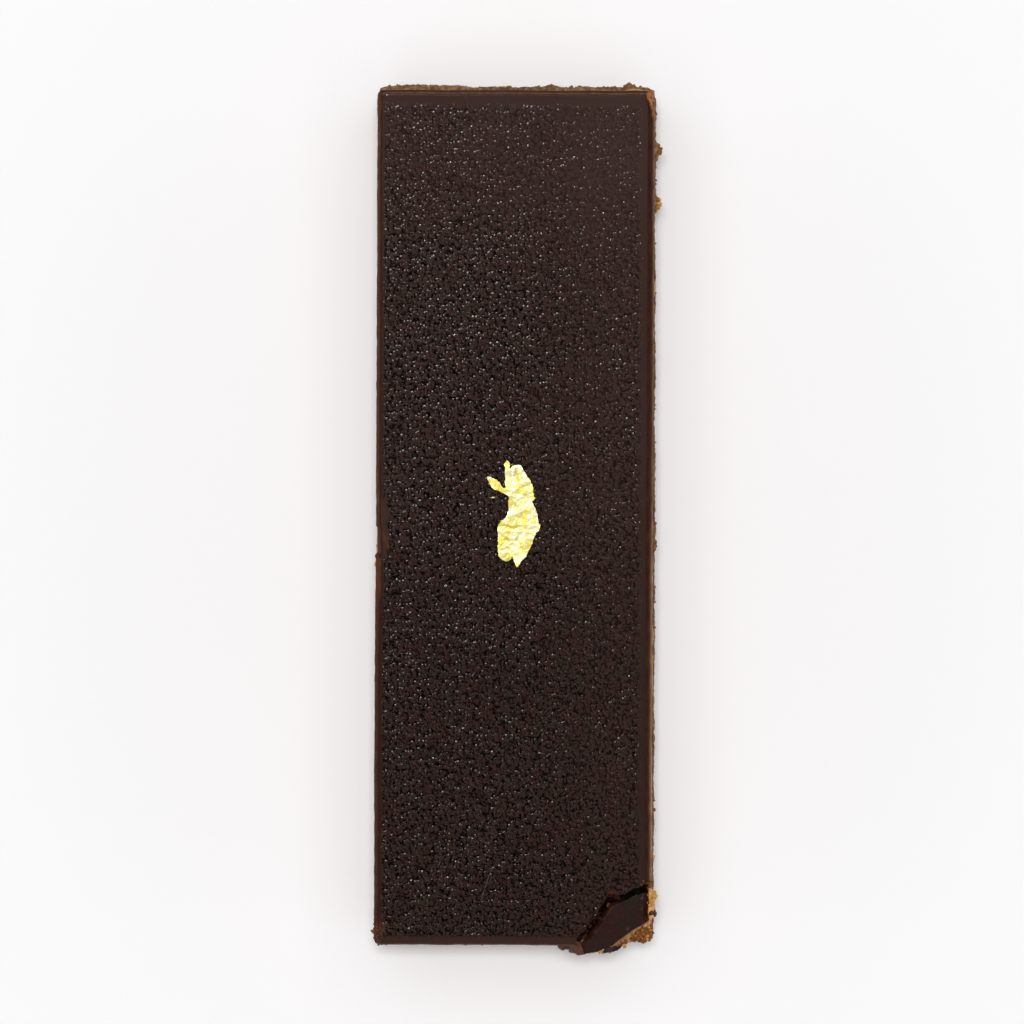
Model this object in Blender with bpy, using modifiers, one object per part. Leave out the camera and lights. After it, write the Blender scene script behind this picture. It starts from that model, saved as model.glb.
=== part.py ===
"""An opera cake bar: three sheets of joconde sponge, two coffee buttercreams and a ganache under a
chocolate glaze, cut to a finger shape. One corner of the glaze has snapped off and sunk into the
buttercream, and a fleck of gold leaf lies in the middle.

Metres, +Z up. The long side runs along Y, and the origin is under the middle of the bar, on its base.
"""

from collections import namedtuple
from math import radians

import bmesh
import bpy
from mathutils import Matrix, Vector, noise

MM = 0.001

# The bar as cut
LENGTH = 105 * MM
WIDTH = 34 * MM
JOCONDE = 4.6 * MM
BUTTERCREAM = 3.2 * MM
GANACHE = 3.4 * MM
GLAZE = 2.6 * MM
GAP = 0.3 * MM  # left between one piece and the next

# The cut faces
LONG_STEPS = 36  # stretches along each long side
SHORT_STEPS = 12
CAP_INSET = 2.5 * MM  # a layer is flat further in than this from its cut face
LAYER_WAVE = 0.22 * MM  # how far a spread layer rises and falls along the cut
WAVE_LENGTH = 17 * MM
WANDER_LENGTH = 9 * MM
TEAR_LENGTH = 2.6 * MM
KNIFE_BEVEL = 0.35 * MM  # the hot knife rounds the glaze's upper edge
WORN_CORNER = 0.9 * MM  # lost from the glaze at its back right corner

# One spread layer. The cut face stands `proud` of the bar's rectangle at the left, right, front and
# back, and strays from there by `wander` over a long stretch and `tear` over a short one. These are in
# millimetres. `rows` is how many bands the face has from bottom to top.
Layer = namedtuple("Layer", "name thickness proud wander tear rows colour roughness")

SPONGE_LOOK = ((0.38, 0.19, 0.08), 0.85)
CREAM_LOOK = ((0.50, 0.32, 0.17), 0.5)
LAYERS = [
    Layer("joconde_bottom", JOCONDE, (0.2, 0.4, 0.15, 0.45), 0.16, 0.2, 3, *SPONGE_LOOK),
    Layer("buttercream_lower", BUTTERCREAM, (0.0, 0.1, 0.0, 0.15), 0.12, 0.04, 2, *CREAM_LOOK),
    Layer("joconde_middle", JOCONDE, (0.2, 0.35, 0.15, 0.5), 0.16, 0.2, 3, *SPONGE_LOOK),
    Layer("ganache", GANACHE, (0.0, 0.1, 0.0, 0.1), 0.1, 0.03, 2, (0.045, 0.022, 0.015), 0.4),
    Layer("joconde_top", JOCONDE, (0.2, 0.5, 0.2, 0.85), 0.18, 0.22, 3, *SPONGE_LOOK),
    Layer("buttercream_upper", BUTTERCREAM, (0.1, 0.35, 0.05, 0.4), 0.1, 0.04, 2, *CREAM_LOOK),
    Layer("glaze", GLAZE, (0.0, 0.0, 0.0, 0.0), 0.05, 0.0, 1, (0.026, 0.012, 0.008), 0.3),
]

# The snapped corner, at the front right, in millimetres seen from above
BREAK_LINE = [(6.9, -54.5), (7.6, -51.9), (9.2, -50.1), (9.9, -48.8), (10.9, -47.6), (11.7, -46.6),
              (13.2, -46.3), (14.9, -45.5), (18.5, -44.4)]
CORNER_PIECE = [(8.5, -53.6), (12.2, -52.6), (13.9, -51.3), (16.4, -49.8), (16.6, -46.6),
                (15.2, -46.7), (13.0, -47.9), (11.9, -49.0), (10.6, -51.0), (9.4, -52.4)]
SCRAPED_LINE = [(6.5, -55.9), (9.9, -54.2), (13.2, -52.6), (15.0, -51.4), (18.4, -49.7)]
FAR_CORNER = (30, -70)  # well outside the bar
HINGE = Vector((11.2, -48.6)) * MM  # the middle of the break
BREAK_BEARING = radians(38)  # the way the break runs, from +X towards +Y
CORNER_TILT = radians(18)
CORNER_SINK = 0.45 * MM
CORNER_EDGE = 0.15 * MM
POCKET_CLEARANCE = 0.55 * MM

# The gold leaf, in millimetres seen from above
LEAF_OUTLINE = [(0.4, -6.0), (1.3, -5.0), (2.0, -3.9), (2.5, -2.1), (3.1, -1.4), (2.9, 0.0),
                (2.3, 1.8), (2.1, 4.1), (1.6, 4.9), (0.8, 6.4), (0.0, 6.4), (-0.4, 5.9), (-1.0, 7.0),
                (-1.2, 5.4), (-1.0, 4.1), (-1.7, 4.4), (-3.4, 5.1), (-2.8, 3.8), (-0.9, 2.7),
                (-0.7, 0.8), (-1.8, -0.6), (-2.0, -1.8), (-1.9, -4.6), (-1.1, -5.3), (-0.1, -5.6)]
LEAF_THICKNESS = 0.15 * MM
LEAF_CRUMPLE = 0.3 * MM
CRUMPLE_LENGTH = 2.1 * MM


def wavering(x, y, z, wavelength, channel):
    """Repeatable noise from about -1 to 1. Each channel is a different pattern."""
    return noise.noise(Vector((x, y, z)) / wavelength + Vector((0, 0, 31.7 * channel)))


def principled(name, colour, roughness, metallic=0.0):
    material = bpy.data.materials.new(name)
    material.use_nodes = True
    shader = material.node_tree.nodes["Principled BSDF"]
    shader.inputs["Base Color"].default_value = (*colour, 1)
    shader.inputs["Roughness"].default_value = roughness
    shader.inputs["Metallic"].default_value = metallic
    return material


def new_object(name, mesh, collection, material=None):
    thing = bpy.data.objects.new(name, mesh)
    collection.objects.link(thing)
    if material:
        mesh.materials.append(material)
    return thing


def loft(name, rings, collection, material):
    """A closed solid through unlike rings of points, with the first and last filled."""
    bm = bmesh.new()
    loops = [[bm.verts.new(point) for point in ring] for ring in rings]
    for lower, upper in zip(loops, loops[1:]):
        for i in range(len(lower)):
            j = (i + 1) % len(lower)
            bm.faces.new((lower[i], lower[j], upper[j], upper[i]))
    bm.faces.new(loops[0][::-1])
    bm.faces.new(loops[-1])
    mesh = bpy.data.meshes.new(name)
    bm.to_mesh(mesh)
    bm.free()
    return new_object(name, mesh, collection, material)


def plate(name, outline, thickness, collection, material=None):
    """A flat outline in millimetres, made solid either side of z = 0."""
    curve = bpy.data.curves.new(name, "CURVE")
    curve.dimensions = "2D"
    curve.fill_mode = "BOTH"
    curve.extrude = thickness / 2
    spline = curve.splines.new("POLY")
    spline.points.add(len(outline) - 1)
    for point, (x, y) in zip(spline.points, outline):
        point.co = (x * MM, y * MM, 0, 1)
    spline.use_cyclic_u = True
    guide = new_object(name + "_outline", curve, collection)
    bpy.context.view_layer.update()
    mesh = bpy.data.meshes.new_from_object(guide.evaluated_get(bpy.context.evaluated_depsgraph_get()))
    bpy.data.objects.remove(guide)
    bm = bmesh.new()
    bm.from_mesh(mesh)
    bmesh.ops.remove_doubles(bm, verts=bm.verts, dist=0.001 * MM)
    bmesh.ops.recalc_face_normals(bm, faces=bm.faces)
    bm.to_mesh(mesh)
    bm.free()
    return new_object(name, mesh, collection, material)


def cut_rectangle():
    """Counter-clockwise round the bar: each point, and the signs of the cut faces that it lies on."""
    corners = [(1, -1), (1, 1), (-1, 1), (-1, -1)]
    found = []
    for (sx, sy), (tx, ty) in zip(corners, corners[1:] + corners[:1]):
        steps = LONG_STEPS if sx == tx else SHORT_STEPS
        for i in range(steps):
            x = (sx + (tx - sx) * i / steps) * WIDTH / 2
            y = (sy + (ty - sy) * i / steps) * LENGTH / 2
            found.append((x, y, sx if sx == tx or i == 0 else 0, sy if sy == ty or i == 0 else 0))
    return found


def cut_ring(layer, channel, height, rise=None, inset=0.0):
    """One ring round a layer at a height, brought in by an inset. `rise` lifts it with an interface."""
    left, right, front, back = (mm * MM for mm in layer.proud)
    ring = []
    for x, y, side_x, side_y in cut_rectangle():
        wander = layer.wander * MM * wavering(x, y, height, WANDER_LENGTH, channel)
        tear = layer.tear * MM * wavering(x, y, height, TEAR_LENGTH, channel + 0.5)
        out_x = (right if side_x > 0 else left) + wander + tear - inset
        out_y = (back if side_y > 0 else front) + wander + tear - inset
        if not side_x:
            x *= 1 - 2 * inset / WIDTH
        if not side_y:
            y *= 1 - 2 * inset / LENGTH
        lift = rise(x, y) if rise else 0.0
        ring.append(Vector((x + side_x * out_x, y + side_y * out_y, height + lift)))
    return ring


def interface_wave(number):
    """The rise of the boundary above layer `number` along the cut. The base and the top are level."""
    if not 0 <= number < len(LAYERS) - 1:
        return None
    return lambda x, y: LAYER_WAVE * wavering(x, y, 0, WAVE_LENGTH, 7 + number)


def layer_rings(number, bottom):
    """A layer's rings, from the edge of its flat underside, up its cut face, to its flat top's edge."""
    layer = LAYERS[number]
    top = bottom + layer.thickness
    rings = [cut_ring(layer, number, bottom, inset=CAP_INSET)]
    rings.append(cut_ring(layer, number, bottom, interface_wave(number - 1)))
    for row in range(1, layer.rows):
        rings.append(cut_ring(layer, number, bottom + layer.thickness * row / layer.rows))
    if layer.name == "glaze":
        rings.append(cut_ring(layer, number, top - KNIFE_BEVEL))
        rings.append(cut_ring(layer, number, top, inset=KNIFE_BEVEL))
        wear_corner(rings[1:])
    else:
        rings.append(cut_ring(layer, number, top, interface_wave(number)))
    rings.append(cut_ring(layer, number, top, inset=CAP_INSET))
    return rings


def wear_corner(rings):
    """Brings in the back right corner of each ring."""
    for ring in rings:
        corner = max(ring, key=lambda point: point.x + point.y)
        corner.x -= WORN_CORNER
        corner.y -= WORN_CORNER


def cut_away(thing, cutter):
    cutter.hide_render = True
    cutter.display_type = "WIRE"
    modifier = thing.modifiers.new(cutter.name, "BOOLEAN")
    modifier.operation = "DIFFERENCE"
    modifier.object = cutter


def cut_beyond(thing, name, line, level, depth, cutters):
    """Takes off what lies past a line at the front right corner, to a depth either side of a level."""
    cutter = plate(name, line + [FAR_CORNER], 2 * depth, cutters)
    cutter.location.z = level
    cut_away(thing, cutter)


def grown(outline, clearance):
    """The outline moved out from its middle, so that a piece of the first shape drops in clear."""
    middle = Vector((sum(x for x, _ in outline), sum(y for _, y in outline))) / len(outline)
    found = []
    for point in outline:
        out = Vector(point) - middle
        found.append(tuple(middle + out * (1 + clearance / MM / out.length)))
    return found


def sunk_matrix(top):
    """Tips a piece made at the origin's height about the break, and sinks it below the glaze's top."""
    place = Matrix.Translation((HINGE.x, HINGE.y, top - CORNER_SINK))
    bearing = Matrix.Rotation(BREAK_BEARING, 4, "Z")
    tilt = Matrix.Rotation(CORNER_TILT, 4, "X")
    return place @ bearing @ tilt @ bearing.inverted() @ Matrix.Translation((-HINGE.x, -HINGE.y, 0))


def snap_corner(glaze, buttercream, top, parts, cutters):
    """Breaks the glaze, drops the piece into the buttercream, and scrapes off the cream beyond it."""
    cut_beyond(glaze, "break_cutter", BREAK_LINE, top, 2 * GLAZE, cutters)
    sunk = sunk_matrix(top)
    piece = plate("glaze_corner", CORNER_PIECE, GLAZE, parts, glaze.data.materials[0])
    piece.matrix_world = sunk @ Matrix.Translation((0, 0, -GLAZE / 2))
    edge = piece.modifiers.new("edge", "BEVEL")
    edge.width = CORNER_EDGE
    edge.segments = 1
    pocket_depth = 3 * GLAZE
    pocket = plate("pocket_cutter", grown(CORNER_PIECE, POCKET_CLEARANCE), pocket_depth, cutters)
    pocket.matrix_world = sunk @ Matrix.Translation((0, 0, pocket_depth / 2 - GLAZE - GAP))
    cut_away(buttercream, pocket)
    cut_beyond(buttercream, "scrape_cutter", SCRAPED_LINE, top - GLAZE, 2 * BUTTERCREAM, cutters)


def gold_leaf(top, parts):
    """The leaf's outline as a thin plate, subdivided and crumpled, just clear of the glaze."""
    gold = principled("gold", (1.0, 0.78, 0.28), 0.35, metallic=1.0)
    leaf = plate("gold_leaf", LEAF_OUTLINE, LEAF_THICKNESS, parts, gold)
    bm = bmesh.new()
    bm.from_mesh(leaf.data)
    bmesh.ops.subdivide_edges(bm, edges=bm.edges, cuts=1)
    bmesh.ops.triangulate(bm, faces=bm.faces)
    for vert in bm.verts:
        fold = wavering(vert.co.x, vert.co.y, 0, CRUMPLE_LENGTH, 21)
        vert.co.z += LEAF_CRUMPLE * (1 + fold)
    bm.to_mesh(leaf.data)
    bm.free()
    leaf.location.z = top + GAP + LEAF_THICKNESS / 2


def build():
    for thing in list(bpy.data.objects):
        bpy.data.objects.remove(thing)
    parts = bpy.data.collections.new("opera_cake")
    cutters = bpy.data.collections.new("cutters")
    for collection in (parts, cutters):
        bpy.context.scene.collection.children.link(collection)

    stack = {}
    bottom = 0.0
    for number, layer in enumerate(LAYERS):
        material = principled(layer.name, layer.colour, layer.roughness)
        stack[layer.name] = loft(layer.name, layer_rings(number, bottom), parts, material)
        bottom += layer.thickness + GAP
    top = bottom - GAP

    snap_corner(stack["glaze"], stack["buttercream_upper"], top, parts, cutters)
    gold_leaf(top, parts)


build()
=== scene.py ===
"""The looks of an opera cake bar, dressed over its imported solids.

Everything is in metres in the solids' own frame: the bar's long side runs along Y, +Z is up, and the
origin is under the middle of the bar. Each layer becomes a finely meshed block whose cut faces carry its
crumb or knife marks, the glaze gets its pebbled top, and the snapped corner lies sunk in the buttercream.
"""

import math
import random

import bmesh
import bpy
import numpy as np
from mathutils import Matrix, Vector, noise


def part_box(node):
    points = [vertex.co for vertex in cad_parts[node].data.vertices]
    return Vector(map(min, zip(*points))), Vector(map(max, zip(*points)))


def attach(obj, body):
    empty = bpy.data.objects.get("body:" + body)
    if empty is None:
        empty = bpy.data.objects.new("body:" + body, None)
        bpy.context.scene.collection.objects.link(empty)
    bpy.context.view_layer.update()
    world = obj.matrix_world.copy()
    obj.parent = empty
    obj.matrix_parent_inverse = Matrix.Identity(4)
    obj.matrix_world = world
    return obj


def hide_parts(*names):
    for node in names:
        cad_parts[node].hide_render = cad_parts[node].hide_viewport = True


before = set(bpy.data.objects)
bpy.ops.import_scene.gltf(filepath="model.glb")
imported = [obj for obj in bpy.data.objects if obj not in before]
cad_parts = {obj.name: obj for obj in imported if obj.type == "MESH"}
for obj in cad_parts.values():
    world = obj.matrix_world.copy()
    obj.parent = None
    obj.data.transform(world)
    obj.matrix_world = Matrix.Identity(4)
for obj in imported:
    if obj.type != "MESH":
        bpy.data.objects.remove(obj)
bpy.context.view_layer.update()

MM = 0.001

# ---------------------------------------------------------------- sizes

LENGTH = 105 * MM
WIDTH = 34 * MM
JOCONDE = 4.6 * MM
BUTTERCREAM = 3.2 * MM
GANACHE = 3.4 * MM
GLAZE = 2.6 * MM
GAP = 0.3 * MM  # between one solid and the next, closed here by both neighbours
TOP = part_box("glaze")[1].z

LAYER_WAVE = 0.22 * MM  # how far a spread layer rises and falls along the cut
WAVE_LENGTH = 17 * MM
RIPPLE = 0.09 * MM  # and how far again over a short stretch
RIPPLE_LENGTH = 3.7 * MM

PEBBLE = 0.62 * MM  # from one pebble of the glaze to the next
PEBBLE_RELIEF = 0.06 * MM
BEAD = 0.41 * MM  # from one fine bead on the pebbles to the next
GLAZE_STEP = 0.21 * MM  # mesh spacing
SPONGE_STEP = 0.25 * MM
CREAM_STEP = 0.3 * MM

# The glaze's knife-cut rim: how wide it is seen from above on each side, and how far its edge stands out
RIM_LEFT = 0.6 * MM
RIM_RIGHT = 0.85 * MM
RIM_BACK = 0.6 * MM
RIM_FRONT = 0.2 * MM
PROUD_BACK = 0.22 * MM
PROUD_FRONT = 0.25 * MM
WORN_CORNER = 0.75 * MM  # the radius that the left corners are worn to
# The rim from its top edge out and down, as shares of its width still to go and of its depth
RIM_PROFILE = [(0.93, 0.012), (0.80, 0.03), (0.62, 0.06), (0.42, 0.10), (0.24, 0.15), (0.10, 0.22),
               (0.03, 0.32), (0.0, 0.55), (0.0, 0.78), (0.0, 1.0)]
CREASE = 0.05 * MM  # the shallow line that the knife leaves just inside the rim

# The snapped corner, at the front right, in millimetres seen from above
BREAK_LINE = [(7.2, -54.5), (7.4, -52.6), (8.0, -51.5), (8.8, -50.9), (9.3, -50.0), (10.2, -49.1),
              (10.8, -47.9), (11.4, -47.1), (11.7, -46.2), (12.2, -45.9), (12.9, -46.5), (13.8, -46.3),
              (15.0, -45.7), (16.3, -45.0), (18.5, -44.8)]
CORNER_PIECE = [(8.4, -54.0), (10.4, -53.6), (12.3, -52.8), (13.6, -51.8), (14.8, -50.9), (16.0, -50.2),
                (16.9, -49.6), (17.0, -46.3), (16.6, -46.2), (16.1, -46.3), (15.3, -46.5), (14.2, -47.0),
                (13.3, -47.4), (12.3, -48.0), (11.6, -48.9), (10.8, -50.1), (10.0, -51.3), (9.0, -52.6),
                (8.2, -53.4)]
SCRAPED_LINE = [(6.5, -55.9), (9.9, -54.2), (11.6, -53.35), (13.2, -52.55), (14.3, -51.9), (15.2, -50.9),
                (16.3, -50.4), (18.4, -49.5)]
OUTER_CORNER = (19.0, -55.5)  # just outside the bar
SNAPPED_CHIP = [(6.9, -52.6), (7.5, -51.9), (8.4, -52.6), (8.8, -53.7), (8.1, -54.0), (7.7, -53.7), (7.0, -53.6)]
FRONT_CHIP = [(5.5, -52.5), (7.0, -52.5), (7.0, -53.25), (6.1, -53.3), (5.6, -53.0)]
SLIVER = [(11.1, -53.7), (11.4, -53.1), (12.4, -53.0), (13.6, -52.8), (13.2, -53.2), (12.1, -53.7)]
# The cream squeezed out at the right of the sunk piece
SQUEEZED_CREAM = [(16.8, -45.8), (17.15, -45.9), (17.4, -46.3), (17.3, -46.7), (17.55, -47.1), (17.45, -47.6),
                  (17.5, -48.2), (17.15, -48.7), (17.3, -49.2), (16.9, -49.7), (16.7, -49.0), (16.8, -47.0)]
FLAKE_RIM = 0.95 * MM
FLAKE_BEADS = [(15.85, -46.75), (15.9, -48.1), (14.1, -50.6)]  # drops of glaze on the sunk piece
UNDERCUT = (0.14, 0.42)  # how far the piece's broken face leans under for each unit of depth, left and right
HINGE = Vector((11.2, -48.6)) * MM  # the middle of the break
BREAK_BEARING = math.radians(38)  # the way the break runs, from +X towards +Y
OUTWARD = Vector((math.sin(BREAK_BEARING), -math.cos(BREAK_BEARING), 0))  # square to it, towards the corner
CORNER_TILT = math.radians(18)
CORNER_SINK = 0.45 * MM

SCRATCH = ((-2.65, -43.2), (-4.3, -48.2))  # the ends of the fine scratch, in millimetres


def layer_boundaries():
    """The level between each layer and the next, from the floor up to the glaze's underside."""
    levels = [0.0]
    for thickness in (JOCONDE, BUTTERCREAM, JOCONDE, GANACHE, JOCONDE, BUTTERCREAM):
        levels.append(levels[-1] + thickness + (GAP / 2 if len(levels) == 1 else GAP))
    return levels


BOUNDARIES = layer_boundaries()

# ---------------------------------------------------------------- mesh tools


def wavering(x, y, z, wavelength, channel):
    """Repeatable noise from about -1 to 1. Each channel is a different pattern."""
    return noise.noise(Vector((x, y, z)) / wavelength + Vector((0, 0, 31.7 * channel)))


def bump(value, centre, half):
    """A smooth hump of height 1 at the centre, falling to 0 at a half width either side."""
    share = min(1.0, abs(value - centre) / half)
    return (1 - share * share) ** 2


def ramp(value, low, high):
    """Rises smoothly from 0 at low to 1 at high."""
    share = min(1.0, max(0.0, (value - low) / (high - low)))
    return share * share * (3 - 2 * share)


def worn_round(x, y, corner_x, corner_y):
    """Draws the square at a corner into a quarter round."""
    across, along = (corner_x - x) / WORN_CORNER, (corner_y - y) / WORN_CORNER
    out_x, out_y = 1 - abs(across), 1 - abs(along)
    if out_x <= 0 or out_y <= 0:
        return x, y
    pull = max(out_x, out_y) / math.hypot(out_x, out_y)
    centre_x = corner_x - math.copysign(WORN_CORNER, corner_x)
    centre_y = corner_y - math.copysign(WORN_CORNER, corner_y)
    return centre_x + (x - centre_x) * pull, centre_y + (y - centre_y) * pull


def new_piece(name, mesh, material=None):
    piece = bpy.data.objects.new(name, mesh)
    bpy.context.scene.collection.objects.link(piece)
    if material:
        mesh.materials.append(material)
    return piece


def mesh_of(name, points, faces):
    mesh = bpy.data.meshes.new(name)
    mesh.from_pydata([tuple(point) for point in points], [], faces)
    mesh.update()
    return mesh


def keep_values(mesh, name, values):
    """Stores one number for each point of a mesh under a name."""
    attribute = mesh.attributes.new(name, "FLOAT", "POINT")
    attribute.data.foreach_set("value", np.asarray(values, np.float32))


def keep_vectors(mesh, name, vectors):
    attribute = mesh.attributes.new(name, "FLOAT_VECTOR", "POINT")
    attribute.data.foreach_set("vector", np.asarray(vectors, np.float32).ravel())


def settle(piece):
    """Swaps a piece's mesh for what its modifiers make of it, and takes the modifiers off."""
    bpy.context.view_layer.update()
    graph = bpy.context.evaluated_depsgraph_get()
    made = bpy.data.meshes.new_from_object(
        piece.evaluated_get(graph), preserve_all_data_layers=True, depsgraph=graph)
    piece.modifiers.clear()
    plain = piece.data
    piece.data = made
    bpy.data.meshes.remove(plain)
    made.name = piece.name
    return piece


def cut_away(piece, cutter):
    """Takes the cutter's form out of a piece. The cut faces get the cutter's material."""
    modifier = piece.modifiers.new(cutter.name, "BOOLEAN")
    modifier.operation = "DIFFERENCE"
    modifier.object = cutter
    modifier.material_mode = "TRANSFER"
    settle(piece)
    bpy.data.objects.remove(cutter)
    return piece


def shade(piece, angle):
    """Smooth shading that stays crisp where faces meet at more than an angle, in degrees."""
    piece.data.shade_smooth()
    piece.data.set_sharp_from_angle(angle=math.radians(angle))
    return piece


def dress(piece, slot, *nodes):
    """Fixes a finished piece to the cake and, if it stands for some, hides those solids."""
    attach(piece, "root")
    if nodes:
        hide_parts(*nodes)
    return piece


# ---------------------------------------------------------------- node tools


def node(tree, kind, inputs=None, **settings):
    """Adds a node. An input given as a socket is linked, and any other value is set on it."""
    made = tree.nodes.new(kind)
    for name, value in settings.items():
        setattr(made, name, value)
    for name, value in (inputs or {}).items():
        if isinstance(value, bpy.types.NodeSocket):
            tree.links.new(value, made.inputs[name])
        else:
            made.inputs[name].default_value = value
    return made


def maths(tree, operation, first, second=0.0):
    return node(tree, "ShaderNodeMath", {0: first, 1: second}, operation=operation).outputs[0]


def span(tree, value, low, high, to_low=0.0, to_high=1.0):
    """A value's place between low and high, held to 0 and 1 outside them, put on a new range."""
    inputs = {"Value": value, "From Min": low, "From Max": high, "To Min": to_low, "To Max": to_high}
    return node(tree, "ShaderNodeMapRange", inputs).outputs[0]


def grain(tree, place, length, detail=2.0, roughness=0.5, distortion=0.0):
    """Noise from 0 to 1 with features of about a length."""
    inputs = {"Vector": place, "Scale": 1 / length, "Detail": detail, "Roughness": roughness,
              "Distortion": distortion}
    return node(tree, "ShaderNodeTexNoise", inputs).outputs[0]


def cells(tree, place, length, feature="F1", randomness=1.0):
    """Distance to the nearest of a field of points about a length apart, in those lengths."""
    inputs = {"Vector": place, "Scale": 1 / length, "Randomness": randomness}
    return node(tree, "ShaderNodeTexVoronoi", inputs, feature=feature).outputs["Distance"]


def dome_field(tree, place, length):
    """Round domes of uneven height packed about a length apart, from 0 to 1, with how far it is to each
    dome's middle and its own chance number. The pattern follows x and y alone."""
    inputs = {"Vector": place, "Scale": maths(tree, "DIVIDE", 1.0, length)}
    field = node(tree, "ShaderNodeTexVoronoi", inputs, voronoi_dimensions="2D")
    away = field.outputs["Distance"]
    dome = maths(tree, "SUBTRACT", 1.0, maths(tree, "POWER", maths(tree, "DIVIDE", away, 0.66), 2.0))
    chance = node(tree, "ShaderNodeSeparateXYZ", {0: field.outputs["Color"]}).outputs[0]
    uneven = span(tree, chance, 0, 1, 0.4, 1.0)
    return maths(tree, "MULTIPLY", maths(tree, "MAXIMUM", dome, 0.0), uneven), away, chance


def blended(tree, share, first, second):
    return node(tree, "ShaderNodeMix", {0: share, 6: first, 7: second}, data_type="RGBA").outputs[2]


def rgb(red, green, blue):
    return (red, green, blue, 1.0)


def new_finish(name, roughness, specular=0.5):
    """A material's tree, its shader and the place on the piece that its patterns follow."""
    material = bpy.data.materials.new(name)
    material.use_nodes = True
    tree = material.node_tree
    shader = tree.nodes["Principled BSDF"]
    shader.inputs["Roughness"].default_value = roughness
    shader.inputs["Specular IOR Level"].default_value = specular
    return material, tree, shader, tree.nodes.new("ShaderNodeTexCoord").outputs["Object"]


def raise_grain(tree, shader, height, depth):
    """Roughens a finish by a height pattern that stands a depth proud."""
    relief = node(tree, "ShaderNodeBump", {"Height": height, "Distance": depth, "Strength": 1.0})
    tree.links.new(relief.outputs[0], shader.inputs["Normal"])


def shaping_tree(name, sizes):
    """A Geometry Nodes tree: geometry and a material in, geometry out, and an input for each size."""
    tree = bpy.data.node_groups.new(name, "GeometryNodeTree")
    tree.interface.new_socket("Geometry", in_out="INPUT", socket_type="NodeSocketGeometry")
    tree.interface.new_socket("Material", in_out="INPUT", socket_type="NodeSocketMaterial")
    for size in sizes:
        tree.interface.new_socket(size, in_out="INPUT", socket_type="NodeSocketFloat")
    tree.interface.new_socket("Geometry", in_out="OUTPUT", socket_type="NodeSocketGeometry")
    return tree, tree.nodes.new("NodeGroupInput").outputs


def end_tree(tree, geometry, material, chosen=True):
    """Ends a shaping tree: everything real, and the chosen faces in its material."""
    real = node(tree, "GeometryNodeRealizeInstances", {"Geometry": geometry})
    inputs = {"Geometry": real.outputs[0], "Selection": chosen, "Material": material}
    finished = node(tree, "GeometryNodeSetMaterial", inputs)
    tree.links.new(finished.outputs[0], tree.nodes.new("NodeGroupOutput").inputs[0])


def stored(tree, name, kind="FLOAT"):
    """A value kept on the mesh under a name."""
    return node(tree, "GeometryNodeInputNamedAttribute", {"Name": name}, data_type=kind).outputs["Attribute"]


def shape(piece, tree, material, sizes):
    """Runs a shaping tree on a piece with these sizes, and keeps the result as its mesh."""
    modifier = piece.modifiers.new(tree.name, "NODES")
    modifier.node_group = tree
    for item in tree.interface.items_tree:
        if item.in_out == "INPUT" and item.name == "Material":
            modifier[item.identifier] = material
        elif item.in_out == "INPUT" and item.name in sizes:
            modifier[item.identifier] = sizes[item.name]
    return settle(piece)


# ---------------------------------------------------------------- finishes


def glaze_finish():
    """Dark chocolate glaze: glossy, set with fine beads, with painted shade, near black, in the hollows between them,
    and painted paler towards the right and, as a painted sheen, towards the back. The knocked side and a fine scratch
    have their own marks."""
    material, tree, shader, place = new_finish("dark_glaze", 0.15, specular=0.35)
    warm = span(tree, grain(tree, place, 2.2 * MM, detail=3), 0.38, 0.62)
    dark = blended(tree, warm, rgb(0.0210, 0.0129, 0.0097), rgb(0.0270, 0.0107, 0.0092))
    # Painted sheen: the top is painted paler towards the back, where the light falls from, and paler towards the right.
    haze = node(tree, "ShaderNodeAttribute", attribute_name="haze").outputs["Fac"]
    dark = blended(tree, haze, dark, rgb(0.0455, 0.0232, 0.0188))
    pebbling = node(tree, "ShaderNodeAttribute", attribute_name="pebbling").outputs["Fac"]
    _, between, chance = dome_field(tree, place, PEBBLE)
    bead, beside, _ = dome_field(tree, place, BEAD)
    fine, _, _ = dome_field(tree, place, 0.3 * MM)
    worn = grain(tree, place, 0.5 * MM, detail=2, roughness=0.6)
    # Painted shade: near black in the hollows between the pebbles and beads, weaker where the pebbling is weak.
    pit = maths(tree, "MAXIMUM", span(tree, between, 0.50, 0.64), span(tree, beside, 0.40, 0.56))
    pit = maths(tree, "MULTIPLY", pit, span(tree, worn, 0.66, 0.50))
    pit = maths(tree, "MULTIPLY", pit, span(tree, pebbling, 0.55, 1.0))
    dark = blended(tree, pit, dark, rgb(0.0004, 0.0003, 0.0003))
    speck = span(tree, grain(tree, place, 0.24 * MM, detail=1), 0.52, 0.72, 0, 0.8)
    dark = blended(tree, maths(tree, "MULTIPLY", speck, pebbling), dark, rgb(0.050, 0.0290, 0.0225))
    scuffed = node(tree, "ShaderNodeAttribute", attribute_name="scuffed").outputs["Fac"]
    dark = blended(tree, scuffed, dark, rgb(0.046, 0.0225, 0.0165))
    streak = node(tree, "ShaderNodeAttribute", attribute_name="streak").outputs["Fac"]
    patchy = span(tree, worn, 0.36, 0.58, 0.15, 0.8)
    dark = blended(tree, maths(tree, "MULTIPLY", streak, patchy), dark, rgb(0.125, 0.048, 0.018))
    dark = blended(tree, scratch_mark(tree, place), dark, rgb(0.11, 0.08, 0.065))
    tree.links.new(dark, shader.inputs["Base Color"])
    height = maths(tree, "ADD", bead, maths(tree, "MULTIPLY", fine, 0.25))
    stray = maths(tree, "MULTIPLY", span(tree, chance, 0.84, 0.88), span(tree, pebbling, 0.25, 0.5, 0, 0.85))
    strength = maths(tree, "MAXIMUM", pebbling, stray)
    raise_grain(tree, shader, maths(tree, "MULTIPLY", height, strength), 0.043 * MM)
    return material


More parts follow.
